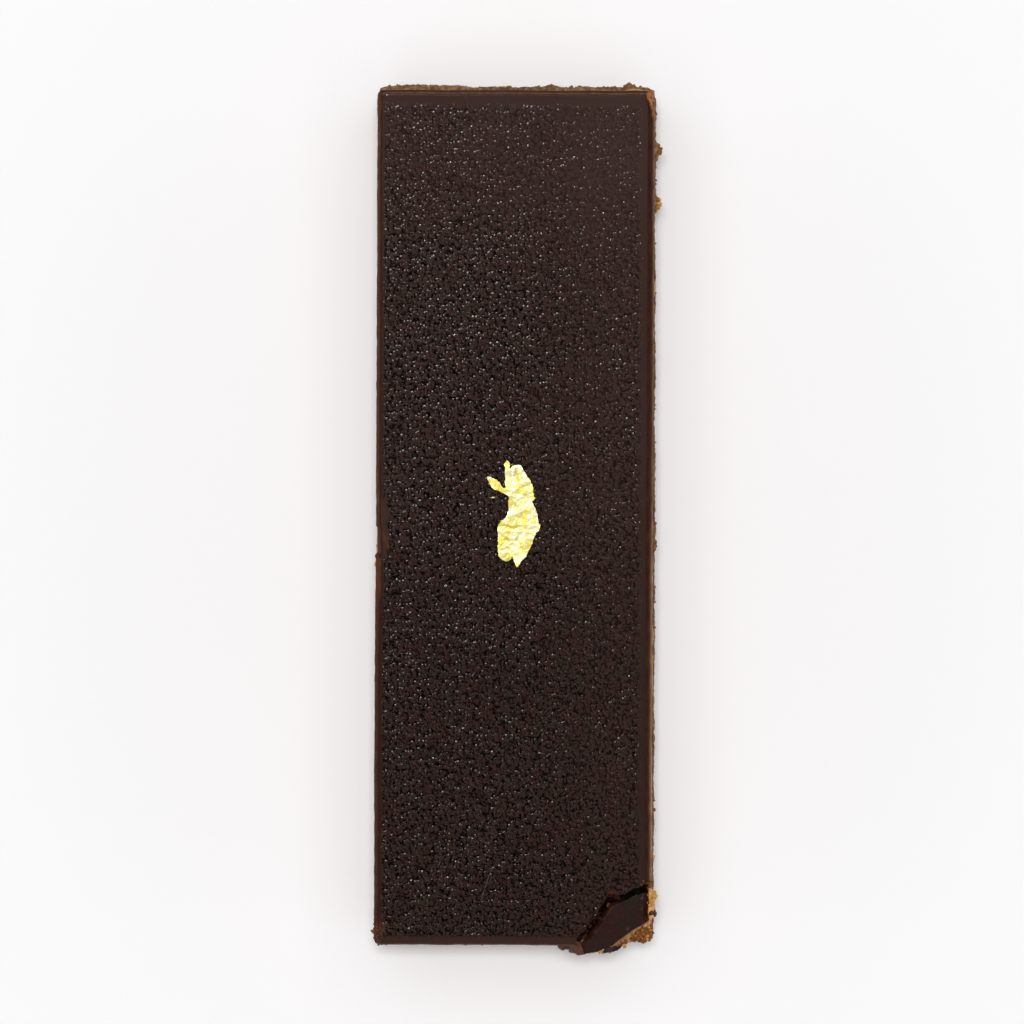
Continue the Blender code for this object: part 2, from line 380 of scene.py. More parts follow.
def scratch_mark(tree, place):
    """Where the fine scratch runs across the glaze's front half, from 0 to 1."""
    start, end = (Vector((*point, 0)) * MM for point in SCRATCH)
    way = (end - start).normalized()
    from_start = node(tree, "ShaderNodeVectorMath", {0: place, 1: start}, operation="SUBTRACT").outputs[0]
    along, aside = (node(tree, "ShaderNodeVectorMath", {0: from_start, 1: axis}, operation="DOT_PRODUCT")
                    .outputs["Value"] for axis in (way, Vector((-way.y, way.x, 0))))
    line = span(tree, maths(tree, "ABSOLUTE", aside), 0.07 * MM, 0.02 * MM, 0, 0.55)
    length = (end - start).length
    ends = maths(tree, "MULTIPLY", span(tree, along, 0, 0.4 * MM), span(tree, along, length, length - 2 * MM))
    return maths(tree, "MULTIPLY", line, ends)


def rim_finish():
    """The glaze's knife-cut rim: satin, from dark red to pale brown by its stored tone, which carries a painted
    highlight on the bevel and painted shade in the knife line and down the steep wall, with drag streaks.
    """
    material, tree, shader, place = new_finish("cut_glaze", 0.6, specular=0.06)
    tone = node(tree, "ShaderNodeAttribute", attribute_name="rim_tone").outputs["Fac"]
    drawn = node(tree, "ShaderNodeMapping", {"Vector": place, "Scale": (1.0, 0.3, 1.0)}).outputs[0]
    streak = grain(tree, drawn, 0.5 * MM, detail=4, roughness=0.7)
    tone = maths(tree, "ADD", tone, maths(tree, "MULTIPLY", maths(tree, "SUBTRACT", streak, 0.5), 0.7))
    # Over the cut glaze's own red-brown: painted shade at the dark red end, painted highlight at the pale end.
    colour = blended(tree, span(tree, tone, 0.0, 0.5), rgb(0.0275, 0.0066, 0.0035), rgb(0.064, 0.0265, 0.0150))
    colour = blended(tree, span(tree, tone, 0.5, 1.0), colour, rgb(0.195, 0.118, 0.076))
    ochre = node(tree, "ShaderNodeAttribute", attribute_name="ochre").outputs["Fac"]
    ochre = maths(tree, "MULTIPLY", ochre, span(tree, streak, 0.35, 0.6, 0.3, 1.0))
    colour = blended(tree, ochre, colour, rgb(0.105, 0.030, 0.007))
    mottle = maths(tree, "ADD", streak, grain(tree, place, 0.3 * MM, detail=3, roughness=0.6))
    smear = blended(tree, span(tree, mottle, 0.86, 1.10), rgb(0.13, 0.038, 0.010), rgb(0.33, 0.150, 0.062))
    share = node(tree, "ShaderNodeAttribute", attribute_name="cream_smear").outputs["Fac"]
    colour = blended(tree, share, colour, smear)
    tree.links.new(colour, shader.inputs["Base Color"])
    raise_grain(tree, shader, maths(tree, "ADD", grain(tree, place, 0.4 * MM, detail=3), streak), 0.05 * MM)
    return material


def snapped_finish():
    """The glaze's broken face: duller, a little paler, with the fine grain of snapped chocolate."""
    material, tree, shader, place = new_finish("snapped_glaze", 0.55, specular=0.35)
    cloud = grain(tree, place, 0.9 * MM, detail=4, roughness=0.65)
    colour = blended(tree, span(tree, cloud, 0.35, 0.7), rgb(0.020, 0.008, 0.005), rgb(0.125, 0.045, 0.021))
    tree.links.new(colour, shader.inputs["Base Color"])
    raise_grain(tree, shader, grain(tree, place, 0.25 * MM, detail=3, roughness=0.7), 0.06 * MM)
    return material


def sponge_finish(name, pale, deep, fleck):
    """Coffee-soaked joconde: a brown crumb between two tones, painted shade in its pores, and almond flecks."""
    material, tree, shader, place = new_finish(name, 0.78, specular=0.3)
    soaked = span(tree, grain(tree, place, 4 * MM, detail=3), 0.36, 0.64)
    crumb = blended(tree, soaked, pale, deep)
    speckle = grain(tree, place, 0.45 * MM, detail=3, roughness=0.65)
    crumb = blended(tree, span(tree, speckle, 0.48, 0.66, 0, 0.75), crumb, fleck)
    crumb = blended(tree, span(tree, speckle, 0.46, 0.30, 0, 0.8), crumb, rgb(0.085, 0.033, 0.011))
    # Painted shade: the crumb is painted dark in its pores.
    pore_and_painted_shade = node(tree, "ShaderNodeAttribute", attribute_name="pore_and_painted_shade").outputs["Fac"]
    tree.links.new(blended(tree, pore_and_painted_shade, crumb, rgb(0.075, 0.027, 0.009)), shader.inputs["Base Color"])
    holes = cells(tree, place, 0.5 * MM)
    height = maths(tree, "ADD", span(tree, holes, 0.0, 0.45), maths(tree, "MULTIPLY", speckle, 0.8))
    raise_grain(tree, shader, height, 0.09 * MM)
    return material


def cream_finish(name, deep, pale, drawn=0.22):
    """Coffee buttercream: smooth, streaked along the cut, with painted shade, near black, down in the crack. `drawn`
    is how far its streaks are drawn out level, from 0 (lines) to 1 (not at all)."""
    material, tree, shader, place = new_finish(name, 0.42)
    shader.inputs["Subsurface Weight"].default_value = 0.15
    shader.inputs["Subsurface Radius"].default_value = (1.0, 0.55, 0.3)
    shader.inputs["Subsurface Scale"].default_value = 0.8 * MM
    squeezed = node(tree, "ShaderNodeMapping", {"Vector": place, "Scale": (drawn, drawn, 1.0)}).outputs[0]
    streak = grain(tree, squeezed, 0.5 * MM, detail=4, roughness=0.6)
    colour = blended(tree, span(tree, streak, 0.3, 0.7), deep, pale)
    crumbs = grain(tree, place, 0.8 * MM, detail=4, roughness=0.7)
    colour = blended(tree, span(tree, crumbs, 0.55, 0.68, 0, 0.75), colour, rgb(0.17, 0.068, 0.022))
    # Painted shade: near black down in the crack.
    crack_painted_shade = node(tree, "ShaderNodeAttribute", attribute_name="crack_painted_shade").outputs["Fac"]
    tree.links.new(blended(tree, crack_painted_shade, colour, rgb(0.004, 0.0018, 0.0012)), shader.inputs["Base Color"])
    raise_grain(tree, shader, maths(tree, "ADD", streak, crumbs), 0.06 * MM)
    return material


def ganache_finish():
    """Dense dark ganache: satin, with drag lines along the cut and a few crumbs pulled over it."""
    material, tree, shader, place = new_finish("dark_ganache", 0.45, specular=0.16)
    squeezed = node(tree, "ShaderNodeMapping", {"Vector": place, "Scale": (0.2, 0.2, 1.0)}).outputs[0]
    streak = grain(tree, squeezed, 0.45 * MM, detail=4, roughness=0.6)
    colour = blended(tree, span(tree, streak, 0.3, 0.7), rgb(0.042, 0.0185, 0.0115), rgb(0.070, 0.032, 0.019))
    crumbs = grain(tree, place, 0.9 * MM, detail=4, roughness=0.7)
    colour = blended(tree, span(tree, crumbs, 0.64, 0.72, 0, 0.8), colour, rgb(0.17, 0.075, 0.028))
    tree.links.new(colour, shader.inputs["Base Color"])
    raise_grain(tree, shader, maths(tree, "ADD", streak, crumbs), 0.05 * MM)
    return material


def gold_finish():
    """Bright crumpled gold leaf, painted a touch deeper in its creases as painted shade."""
    material, tree, shader, place = new_finish("leaf_gold", 0.4)
    shader.inputs["Metallic"].default_value = 1.0
    ruck = grain(tree, place, 0.5 * MM, detail=4, roughness=0.6)
    tone = maths(tree, "ADD", grain(tree, place, 2.2 * MM, detail=2), grain(tree, place, 0.6 * MM, detail=2))
    colour = blended(tree, span(tree, tone, 0.86, 1.12), rgb(0.86, 0.72, 0.15), rgb(0.97, 0.92, 0.52))
    # Painted shade: the leaf is painted a deeper gold in its folds.
    crease_painted_shade = node(tree, "ShaderNodeAttribute", attribute_name="crease_painted_shade").outputs["Fac"]
    colour = blended(tree, maths(tree, "MULTIPLY", crease_painted_shade, 0.55), colour, rgb(0.60, 0.45, 0.05))
    tree.links.new(colour, shader.inputs["Base Color"])
    raise_grain(tree, shader, ruck, 0.07 * MM)
    return material


def crumb_finish(name, pale, deep):
    """A loose crumb, mottled between two colours."""
    material, tree, shader, place = new_finish(name, 0.7, specular=0.3)
    speckle = grain(tree, place, 0.35 * MM, detail=3, roughness=0.65)
    tree.links.new(blended(tree, span(tree, speckle, 0.35, 0.65), deep, pale), shader.inputs["Base Color"])
    raise_grain(tree, shader, speckle, 0.07 * MM)
    return material


# ---------------------------------------------------------------- the layers


def boundary_height(number, x, y):
    """How high the boundary below layer `number` lies at a point of the cut. The floor is flat."""
    if number == 0:
        return 0.0
    wave = LAYER_WAVE * wavering(x, y, 0, WAVE_LENGTH, 6 + number)
    return BOUNDARIES[number] + wave + RIPPLE * wavering(x, y, 0, RIPPLE_LENGTH, 40 + number)


def round_the_bar(step):
    """Counter-clockwise round the bar: each point, and the signs of the cut faces that it lies on."""
    corners = [(1, -1), (1, 1), (-1, 1), (-1, -1)]
    found = []
    for (sx, sy), (tx, ty) in zip(corners, corners[1:] + corners[:1]):
        count = round((LENGTH if sx == tx else WIDTH) / step)
        for i in range(count):
            x = (sx + (tx - sx) * i / count) * WIDTH / 2
            y = (sy + (ty - sy) * i / count) * LENGTH / 2
            found.append((x, y, sx if sx == tx or i == 0 else 0, sy if sy == ty or i == 0 else 0))
    return found


def layer_block(name, number, step, proud):
    """A layer as a closed block with finely meshed cut faces. `proud` gives how far the face beside a
    point stands out of the bar's rectangle. The outward way is kept for the shaping trees."""
    stations = round_the_bar(step)
    thickness = BOUNDARIES[number + 1] - BOUNDARIES[number]
    rows = round(thickness / step)
    points, outward = [], []
    for row in range(rows + 1):
        share = row / rows
        for x, y, side_x, side_y in stations:
            low = boundary_height(number, x, y)
            high = boundary_height(number + 1, x, y)
            across, along = proud(x, y, side_x, side_y)
            edge_x, edge_y = x + side_x * across, y + side_y * along
            for sx, sy in ((1, 1), (1, -1), (-1, 1), (-1, -1)):
                edge_x, edge_y = worn_round(edge_x, edge_y, sx * (WIDTH / 2 + across), sy * (LENGTH / 2 + along))
            points.append((edge_x, edge_y, low + (high - low) * share))
            outward.append((side_x, side_y, 0.0))
    count = len(stations)
    faces = []
    for row in range(rows):
        for i in range(count):
            j = (i + 1) % count
            faces.append((row * count + i, row * count + j, (row + 1) * count + j, (row + 1) * count + i))
    for level, ring in ((BOUNDARIES[number], 0), (BOUNDARIES[number + 1], rows)):
        hub = len(points)
        points.append((0.0, 0.0, level))
        outward.append((0.0, 0.0, 0.0))
        for i in range(count):
            j = (i + 1) % count
            a, b = ring * count + i, ring * count + j
            faces.append((hub, a, b) if ring else (hub, b, a))
    mesh = mesh_of(name, points, faces)
    keep_vectors(mesh, "outward", outward)
    return new_piece(name, mesh)


def standing_out(left, right, front, back, lumps=()):
    """How far a layer's faces stand out: a figure for each side, and lumps on them. A lump is its side,
    its place along that side, its half length and its extra depth. All in millimetres."""
    def side_depth(side, plain, along):
        return plain + sum(d * bump(along / MM, c, half) for s, c, half, d in lumps if s == side)

    def proud(x, y, side_x, side_y):
        across = side_depth("right", right, y) if side_x > 0 else side_depth("left", left, y)
        along = side_depth("back", back, x) if side_y > 0 else side_depth("front", front, x)
        return across * MM, along * MM
    return proud


def crumb_tree():
    """Tears a sponge's cut faces: broad wander, torn lumps, round pores and a fine crumb."""
    names = ["Wander", "Tear", "Pore Depth", "Pore Spacing", "Crumb"]
    tree, given = shaping_tree("Torn crumb", names)
    place = node(tree, "GeometryNodeInputPosition").outputs[0]
    wander = maths(tree, "SUBTRACT", grain(tree, place, 7 * MM, detail=1), 0.5)
    tear = maths(tree, "SUBTRACT", grain(tree, place, 1.5 * MM, detail=3, roughness=0.6), 0.5)
    crumb = maths(tree, "SUBTRACT", grain(tree, place, 0.5 * MM, detail=2, roughness=0.7), 0.5)
    bent = node(tree, "ShaderNodeVectorMath", {0: place, 1: (1.0, 1.0, 1.25)}, operation="MULTIPLY").outputs[0]
    spacing = maths(tree, "DIVIDE", 1.0, given["Pore Spacing"])
    pore_field = node(tree, "ShaderNodeTexVoronoi", {"Vector": bent, "Scale": spacing})
    reach = span(tree, grain(tree, place, 2.5 * MM), 0.35, 0.7, 0.12, 0.42)
    pore_and_painted_shade = span(tree, maths(tree, "DIVIDE", pore_field.outputs["Distance"], reach), 1.0, 0.4)
    out = maths(tree, "MULTIPLY", wander, given["Wander"])
    out = maths(tree, "ADD", out, maths(tree, "MULTIPLY", tear, given["Tear"]))
    out = maths(tree, "ADD", out, maths(tree, "MULTIPLY", crumb, given["Crumb"]))
    out = maths(tree, "SUBTRACT", out, maths(tree, "MULTIPLY", pore_and_painted_shade, given["Pore Depth"]))
    way = stored(tree, "outward", "FLOAT_VECTOR")
    offset = node(tree, "ShaderNodeVectorMath", {0: way, "Scale": out}, operation="SCALE").outputs[0]
    # Keeps the pore mask, which the sponge finish paints as shade in the pores.
    marked = node(tree, "GeometryNodeStoreNamedAttribute",
                  {"Geometry": given["Geometry"], "Name": "pore_and_painted_shade", "Value": pore_and_painted_shade}, domain="POINT")
    moved = node(tree, "GeometryNodeSetPosition", {"Geometry": marked.outputs[0], "Offset": offset})
    end_tree(tree, moved.outputs[0], given["Material"])
    return tree


def knife_tree():
    """Marks a cream or ganache face as a knife leaves it: slow waves, level drag lines and small pits."""
    names = ["Wander", "Drag", "Pit Depth"]
    tree, given = shaping_tree("Knife marks", names)
    place = node(tree, "GeometryNodeInputPosition").outputs[0]
    wander = maths(tree, "SUBTRACT", grain(tree, place, 6 * MM, detail=2), 0.5)
    level = node(tree, "ShaderNodeVectorMath", {0: place, 1: (0.15, 0.15, 1.0)}, operation="MULTIPLY").outputs[0]
    drag = maths(tree, "SUBTRACT", grain(tree, level, 0.7 * MM, detail=3, roughness=0.6), 0.5)
    pit = span(tree, cells(tree, place, 2.2 * MM), 0.22, 0.08)
    out = maths(tree, "MULTIPLY", wander, given["Wander"])
    out = maths(tree, "ADD", out, maths(tree, "MULTIPLY", drag, given["Drag"]))
    out = maths(tree, "SUBTRACT", out, maths(tree, "MULTIPLY", pit, given["Pit Depth"]))
    way = stored(tree, "outward", "FLOAT_VECTOR")
    offset = node(tree, "ShaderNodeVectorMath", {0: way, "Scale": out}, operation="SCALE").outputs[0]
    moved = node(tree, "GeometryNodeSetPosition", {"Geometry": given["Geometry"], "Offset": offset})
    end_tree(tree, moved.outputs[0], given["Material"])
    return tree


# ---------------------------------------------------------------- the glaze


def rim_widths(y):
    """How wide the rim is at left and right at a place along the bar. It flares at the back right corner and
    a little below the scuff."""
    left = RIM_LEFT + 0.16 * MM * bump(y / MM, -8, 6)
    return left, RIM_RIGHT + 0.35 * MM * ramp(y / MM, 50.3, 52.4)


def side_steps(y):
    """How far the left and right sides stand out: a ragged line, knocked in at the scuff with a lip at
    its front end."""
    ragged = 0.05 * wavering(0, y, 0, 1.3 * MM, 63) + 0.06 * wavering(0, y, 0, 9 * MM, 64)
    knocked = 0.2 * ramp(y / MM, -4.55, -4.35) * (1 - ramp(y / MM, -1.3, -1.05))
    lip = 0.16 * bump(y / MM, -4.75, 0.45)
    left = 0.06 + 0.1 * (1 - ramp(y / MM, -12, -4)) + ragged - knocked + lip
    right = 0.07 + 0.07 * ramp(y / MM, -5, 5) - ragged
    return left * MM, right * MM


def rim_point(u, v, width_share, depth_share):
    """A point of the glaze's edge or top. u runs from left to right and v from front to back."""
    length = LENGTH + PROUD_FRONT + PROUD_BACK - width_share * (RIM_FRONT + RIM_BACK)
    y = -LENGTH / 2 - PROUD_FRONT + width_share * RIM_FRONT + v * length
    left, right = rim_widths(y)
    step_left, step_right = side_steps(y)
    low_x = -WIDTH / 2 - step_left + width_share * left
    high_x = WIDTH / 2 + step_right - width_share * right
    x = low_x + u * (high_x - low_x)
    y += 0.05 * MM * wavering(x, 0, 0, 1.5 * MM, 65) * (ramp(v, 0.9, 1.0) + 1 - ramp(v, 0.0, 0.1))
    inset_x = -WIDTH / 2 - step_left + width_share * left
    for inset_y in (LENGTH / 2 + PROUD_BACK - width_share * RIM_BACK,
                    -LENGTH / 2 - PROUD_FRONT + width_share * RIM_FRONT):
        x, y = worn_round(x, y, inset_x, inset_y)
    underside = boundary_height(6, x, y)
    return x, y, TOP - depth_share * (TOP - underside)


def knocked_patch(x, y):
    """How smooth the glaze is round the scuff on its left side: 1 inside the patch."""
    reach = 1.35 + 0.5 * wavering(0, y, 0, 1.6 * MM, 66)
    inward = (x + WIDTH / 2) / MM
    return (1 - ramp(inward, reach - 0.3, reach + 0.3)) * ramp(y / MM, -5.0, -4.4) * (1 - ramp(y / MM, 1.8, 2.6))


def near_line(x, y, start, end, half):
    """How near a point is to a short line, from 0 at half a width away to 1 on it. In millimetres."""
    point, start, end = Vector((x, y)) / MM, Vector(start), Vector(end)
    along = end - start
    share = min(1.0, max(0.0, (point - start).dot(along) / along.length_squared))
    return max(0.0, 1 - (point - start - along * share).length / half)


def pebbling(x, y):
    """How strong the pebbling is: none at the rim, a little weaker at the back and along the right."""
    left, right = rim_widths(y)
    edge = min(ramp(x + WIDTH / 2 - left, 0.0, 0.35 * MM), ramp(WIDTH / 2 - right - x, -0.3 * MM, 1.1 * MM))
    edge = min(edge, ramp(y + LENGTH / 2, 0.2 * MM, 1.1 * MM), ramp(LENGTH / 2 - y, 0.7 * MM, 2.2 * MM))
    back = 1 - 0.20 * ramp(y / MM, 26, 46)
    side = 1 - 0.05 * ramp(x / MM, -8, -2) - (0.09 + 0.03 * ramp(y / MM, 0, 25)) * ramp(x / MM, 0, 10)
    front = 1 + 0.05 * ramp(-y / MM, 5, 50)
    patch = 1.04 + 0.08 * wavering(x, y, 0, 6 * MM, 60)
    return edge * back * side * front * patch * (1 - knocked_patch(x, y))


def paleness(x, y):
    """How much paler the glaze is painted than at its front left, from 0 to 1: a painted sheen towards the back, and
    plain paleness towards the right.
    """
    value = 0.36 * ramp(y / MM, -22, 12) + 0.38 * ramp(y / MM, 22, 50) + 0.20 * ramp(x / MM, 3, 14)
    return value + 0.06 * wavering(x, y, 0, 8 * MM, 62)


def rim_marks(side, x, y, width_share, depth_share):
    """The rim's colours at a point: its tone from dark red (0) to pale (1), then ochre and cream on it. The tone is
    partly the cut glaze's own colour and partly painted light: a painted highlight along the bevel and painted
    shade in the knife line and down the steep wall. `side` says which side it is on."""
    out = 1 - width_share
    # Painted highlight and painted shade: each side's rim is painted pale where its bevel catches the light and dark in
    # the knife line and on the steep wall.
    if side == "right":
        pale = 0.75 + 0.25 * ramp(-y / MM, 0, 10)
        tone = 0.08 + pale * ramp(out, 0.35 + 0.12 * ramp(y / MM, 0, 10), 0.98)
    elif side == "left":
        tone = 0.52 * ramp(out, 0.05, 0.5) * (0.7 + 0.3 * ramp(y / MM, -20, 0))
    elif side == "back":
        tone = 0.50 * ramp(out, 0.02, 0.15) * (1 - ramp(out, 0.35, 0.65)) + 0.16 + 0.2 * ramp(out, 0.8, 1.0)
    else:
        tone = 0.5 + 0.2 * out
    tone += (0.3 - tone) * ramp(depth_share, 0.3, 0.8)
    ochre = 0.0
    if side == "left":
        ochre = 0.9 * bump(y / MM, -5.9, 1.3) + 0.8 * bump(y / MM, -8.4, 2.4) + 0.5 * bump(y / MM, 50.8, 1.2)
        ochre += 0.35 * bump(y / MM, -50.8, 1.6)
    wedge = 0.1 + 0.8 * ramp(y / MM, 48.0, 52.6) ** 1.4
    worn = wedge + 0.3 * wavering(x, y, 0, 1.0 * MM, 61) - (WIDTH / 2 + side_steps(y)[1] - x) / MM
    cream = ramp(worn, -0.1, 0.12) * ramp(y / MM, 47.6, 48.6)
    return tone, min(1.0, ochre), cream


def glaze_block(rim_material):
    """The glaze as a closed block: a fine grid on top, rings down the rim, and a fan underneath."""
    columns, rows = round(WIDTH / GLAZE_STEP), round(LENGTH / GLAZE_STEP)
    marks = {name: [] for name in ("pebbling", "haze", "scuffed", "streak", "rim_tone", "ochre", "cream_smear")}
    points = []

    def add_point(point, **values):
        points.append(point)
        for name, kept in marks.items():
            kept.append(values.get(name, 0.0))
        return len(points) - 1

    for row in range(rows + 1):
        for column in range(columns + 1):
            x, y, z = rim_point(column / columns, row / rows, 1.0, 0.0)
            creased = column in (1, columns - 1)
            corner = Vector((x + 0.49 * WIDTH, y + 0.483 * LENGTH)).length / MM
            # The top's paleness carries a painted sheen towards the back.
            add_point((x, y, z - (CREASE if creased else 0.0)), pebbling=pebbling(x, y), haze=paleness(x, y),
                      scuffed=max(0.8 * knocked_patch(x, y), 0.55 * (1 - ramp(y / MM, -52.2, -51.3))),
                      streak=max(near_line(x, y, (-16.3, -2.0), (-15.5, -3.7), 0.25),
                                 0.5 * (1 - ramp(corner, 0.5, 1.5))))
    width = columns + 1
    faces = [(r * width + c, r * width + c + 1, (r + 1) * width + c + 1, (r + 1) * width + c)
             for r in range(rows) for c in range(columns)]
    edge = [(c, 0, "front") for c in range(columns)] + [(columns, r, "right") for r in range(rows)]
    edge += [(c, rows, "back") for c in range(columns, 0, -1)] + [(0, r, "left") for r in range(rows, 0, -1)]
    upper = [r * width + c for c, r, _ in edge]
    top_faces = len(faces)
    for width_share, depth_share in RIM_PROFILE:
        lower = []
        for c, r, side in edge:
            x, y, z = rim_point(c / columns, r / rows, width_share, depth_share)
            # The rim's tone carries painted highlight and painted shade.
            tone, ochre, cream = rim_marks(side, x, y, width_share, depth_share)
            lower.append(add_point((x, y, z), rim_tone=tone, ochre=ochre, cream_smear=cream))
        for i in range(len(edge)):
            j = (i + 1) % len(edge)
            faces.append((lower[i], lower[j], upper[j], upper[i]))
        upper = lower
    hub = add_point((0.0, 0.0, BOUNDARIES[6]))
    faces += [(hub, upper[(i + 1) % len(upper)], upper[i]) for i in range(len(upper))]
    mesh = mesh_of("glaze_slab", points, faces)
    for name, values in marks.items():
        keep_values(mesh, name, values)
    top = mesh.attributes.new("top_face", "BOOLEAN", "FACE")
    top.data.foreach_set("value", [i < top_faces for i in range(len(faces))])
    return new_piece("glaze_slab", mesh, rim_material)


def pebble_tree():
    """Raises the glaze's top in small uneven pebbles, as strongly as `pebbling` says."""
    tree, given = shaping_tree("Pebbled glaze", ["Pebble Spacing", "Relief", "Swell"])
    place = node(tree, "GeometryNodeInputPosition").outputs[0]
    dome, _, _ = dome_field(tree, place, given["Pebble Spacing"])
    uneven = maths(tree, "SUBTRACT", grain(tree, place, 0.7 * MM, detail=2), 0.5)
    swell = maths(tree, "SUBTRACT", grain(tree, place, 14 * MM, detail=2), 0.5)
    height = maths(tree, "ADD", dome, maths(tree, "MULTIPLY", uneven, 0.5))
    height = maths(tree, "MULTIPLY", height, given["Relief"])
    height = maths(tree, "ADD", height, maths(tree, "MULTIPLY", swell, given["Swell"]))
    height = maths(tree, "MULTIPLY", height, stored(tree, "pebbling"))
    offset = node(tree, "ShaderNodeCombineXYZ", {"Z": height}).outputs[0]
    moved = node(tree, "GeometryNodeSetPosition", {"Geometry": given["Geometry"], "Offset": offset})
    end_tree(tree, moved.outputs[0], given["Material"], stored(tree, "top_face", "BOOLEAN"))
    return tree


# ---------------------------------------------------------------- the snapped corner


def rough_form(name, outline, low, high, voxel, roughening, material, bevelled=None):
    """A flat outline in millimetres made solid between two heights, meshed evenly and roughened.
    `roughening` lists (depth, length, channel). `bevelled` cuts the form by a plane (point, normal)."""
    bm = bmesh.new()
    floor = bm.faces.new([bm.verts.new((x * MM, y * MM, low)) for x, y in outline])
    grown = bmesh.ops.extrude_face_region(bm, geom=[floor])["geom"]
    bmesh.ops.translate(bm, verts=[g for g in grown if isinstance(g, bmesh.types.BMVert)],
                        vec=(0, 0, high - low))
    bmesh.ops.recalc_face_normals(bm, faces=bm.faces)
    if bevelled:
        geometry = list(bm.verts) + list(bm.edges) + list(bm.faces)
        cut = bmesh.ops.bisect_plane(bm, geom=geometry, plane_co=bevelled[0], plane_no=bevelled[1],
                                     clear_outer=True)["geom_cut"]
        bmesh.ops.holes_fill(bm, edges=[g for g in cut if isinstance(g, bmesh.types.BMEdge)])
        bmesh.ops.recalc_face_normals(bm, faces=bm.faces)
    mesh = bpy.data.meshes.new(name)
    bm.to_mesh(mesh)
    bm.free()
    form = new_piece(name, mesh, material)
    remesh = form.modifiers.new("even", "REMESH")
    remesh.mode = "VOXEL"
    remesh.voxel_size = voxel
    settle(form)
    moves = []
    for vert in form.data.vertices:
        depth = sum(d * wavering(*vert.co, length, channel) for d, length, channel in roughening)
        moves.append(vert.co + vert.normal * depth)
    form.data.vertices.foreach_set("co", [c for move in moves for c in move])
    form.data.update()
    return form


def sunk_matrix():
    """Tips a piece made at the origin's height about the break, and sinks it below the glaze's top."""
    place = Matrix.Translation((HINGE.x, HINGE.y, TOP - CORNER_SINK))
    bearing = Matrix.Rotation(BREAK_BEARING, 4, "Z")
    tilt = Matrix.Rotation(CORNER_TILT, 4, "X")
    return place @ bearing @ tilt @ bearing.inverted() @ Matrix.Translation((-HINGE.x, -HINGE.y, 0))


def untipped(outline):
    """An outline seen from above, drawn back into the plane that the sunk piece had before it tipped."""
    found = []
    for point in outline:
        away = (Vector(point) - HINGE / MM).dot(OUTWARD.xy)
        found.append(tuple(Vector(point) + OUTWARD.xy * away * (1 / math.cos(CORNER_TILT) - 1)))
    return found


def corner_flake(glaze, rim, snapped):
    """The snapped piece: smooth on top, knife-cut along its right edge, rough where it broke."""
    outline = untipped(CORNER_PIECE)
    right = max(x for x, _ in outline) * MM
    form = rough_form("glaze_flake", outline, -GLAZE, 0.0, 0.1 * MM, [], glaze,
                      bevelled=(Vector((right - FLAKE_RIM, 0, 0)), Vector((1, 0, 0.95)).normalized()))
    form.data.materials.append(snapped)
    form.data.materials.append(rim)
    mesh = form.data
    beads = [Vector(spot) for spot in untipped(FLAKE_BEADS)]
    for vert in mesh.vertices:
        if vert.normal.z > 0.8:
            vert.co.z += 0.12 * MM * sum(bump((vert.co.xy / MM - spot).length, 0, 0.3) for spot in beads)
        wall = 1 - min(1.0, abs(vert.normal.z) / 0.6)
        if vert.co.x > right - 0.9 * MM:
            wall *= 0.15
        rough = 0.16 * wavering(*vert.co, 1.0 * MM, 70) + 0.13 * wavering(*vert.co, 0.4 * MM, 71)
        swell = 0.03 * wavering(*vert.co, 1.6 * MM, 72) * (1 - wall)
        vert.co += vert.normal * (rough * wall + swell) * MM
        lean = UNDERCUT[0] + (UNDERCUT[1] - UNDERCUT[0]) * ramp(vert.co.x / MM, 12.2, 14.5)
        vert.co -= OUTWARD * vert.co.z * lean
    for face in mesh.polygons:
        if face.center.x > right - FLAKE_RIM:
            face.material_index = 2
        elif abs(face.normal.z) < 0.75:
            face.material_index = 1
    # Painted highlight: the sunk piece's rim is painted paler towards its outer edge.
    keep_values(mesh, "rim_tone", [0.45 * ramp(v.co.x, right - 0.5 * FLAKE_RIM, right) for v in mesh.vertices])
    keep_values(mesh, "pebbling", [0.35] * len(mesh.vertices))
    mesh.transform(sunk_matrix())
    return shade(form, 40)


def grown(outline, clearance):
    """The outline moved out from its middle, so that a piece of the first shape drops in."""
    middle = Vector((sum(x for x, _ in outline), sum(y for _, y in outline))) / len(outline)
    found = []
    for point in outline:
        out = Vector(point) - middle
        found.append(tuple(middle + out * (1 + clearance / out.length)))
    return found


def break_glaze(slab, snapped):
    """Snaps the corner off the glaze. The rough face leans out below, more in some places than others."""
    cutter = rough_form("break_form", BREAK_LINE + [OUTER_CORNER], TOP - 2 * GLAZE, TOP + GLAZE, 0.15 * MM,
                        [(0.12 * MM, 0.9 * MM, 73), (0.09 * MM, 0.35 * MM, 74)], snapped)
    for vert in cutter.data.vertices:
        place = vert.co / MM
        chip = 0.8 * bump(place.x, 12.3, 1.0) * bump(place.y, -46.1, 1.2)
        lean = chip + (1 - ramp(place.x, 9.5, 11)) * (0.1 + 0.3 * wavering(*vert.co.xy, 0, 1.2 * MM, 85))
        vert.co += OUTWARD * max(0.0, TOP - 0.25 * MM - vert.co.z) * max(0.0, lean)
    return cut_away(slab, cutter)


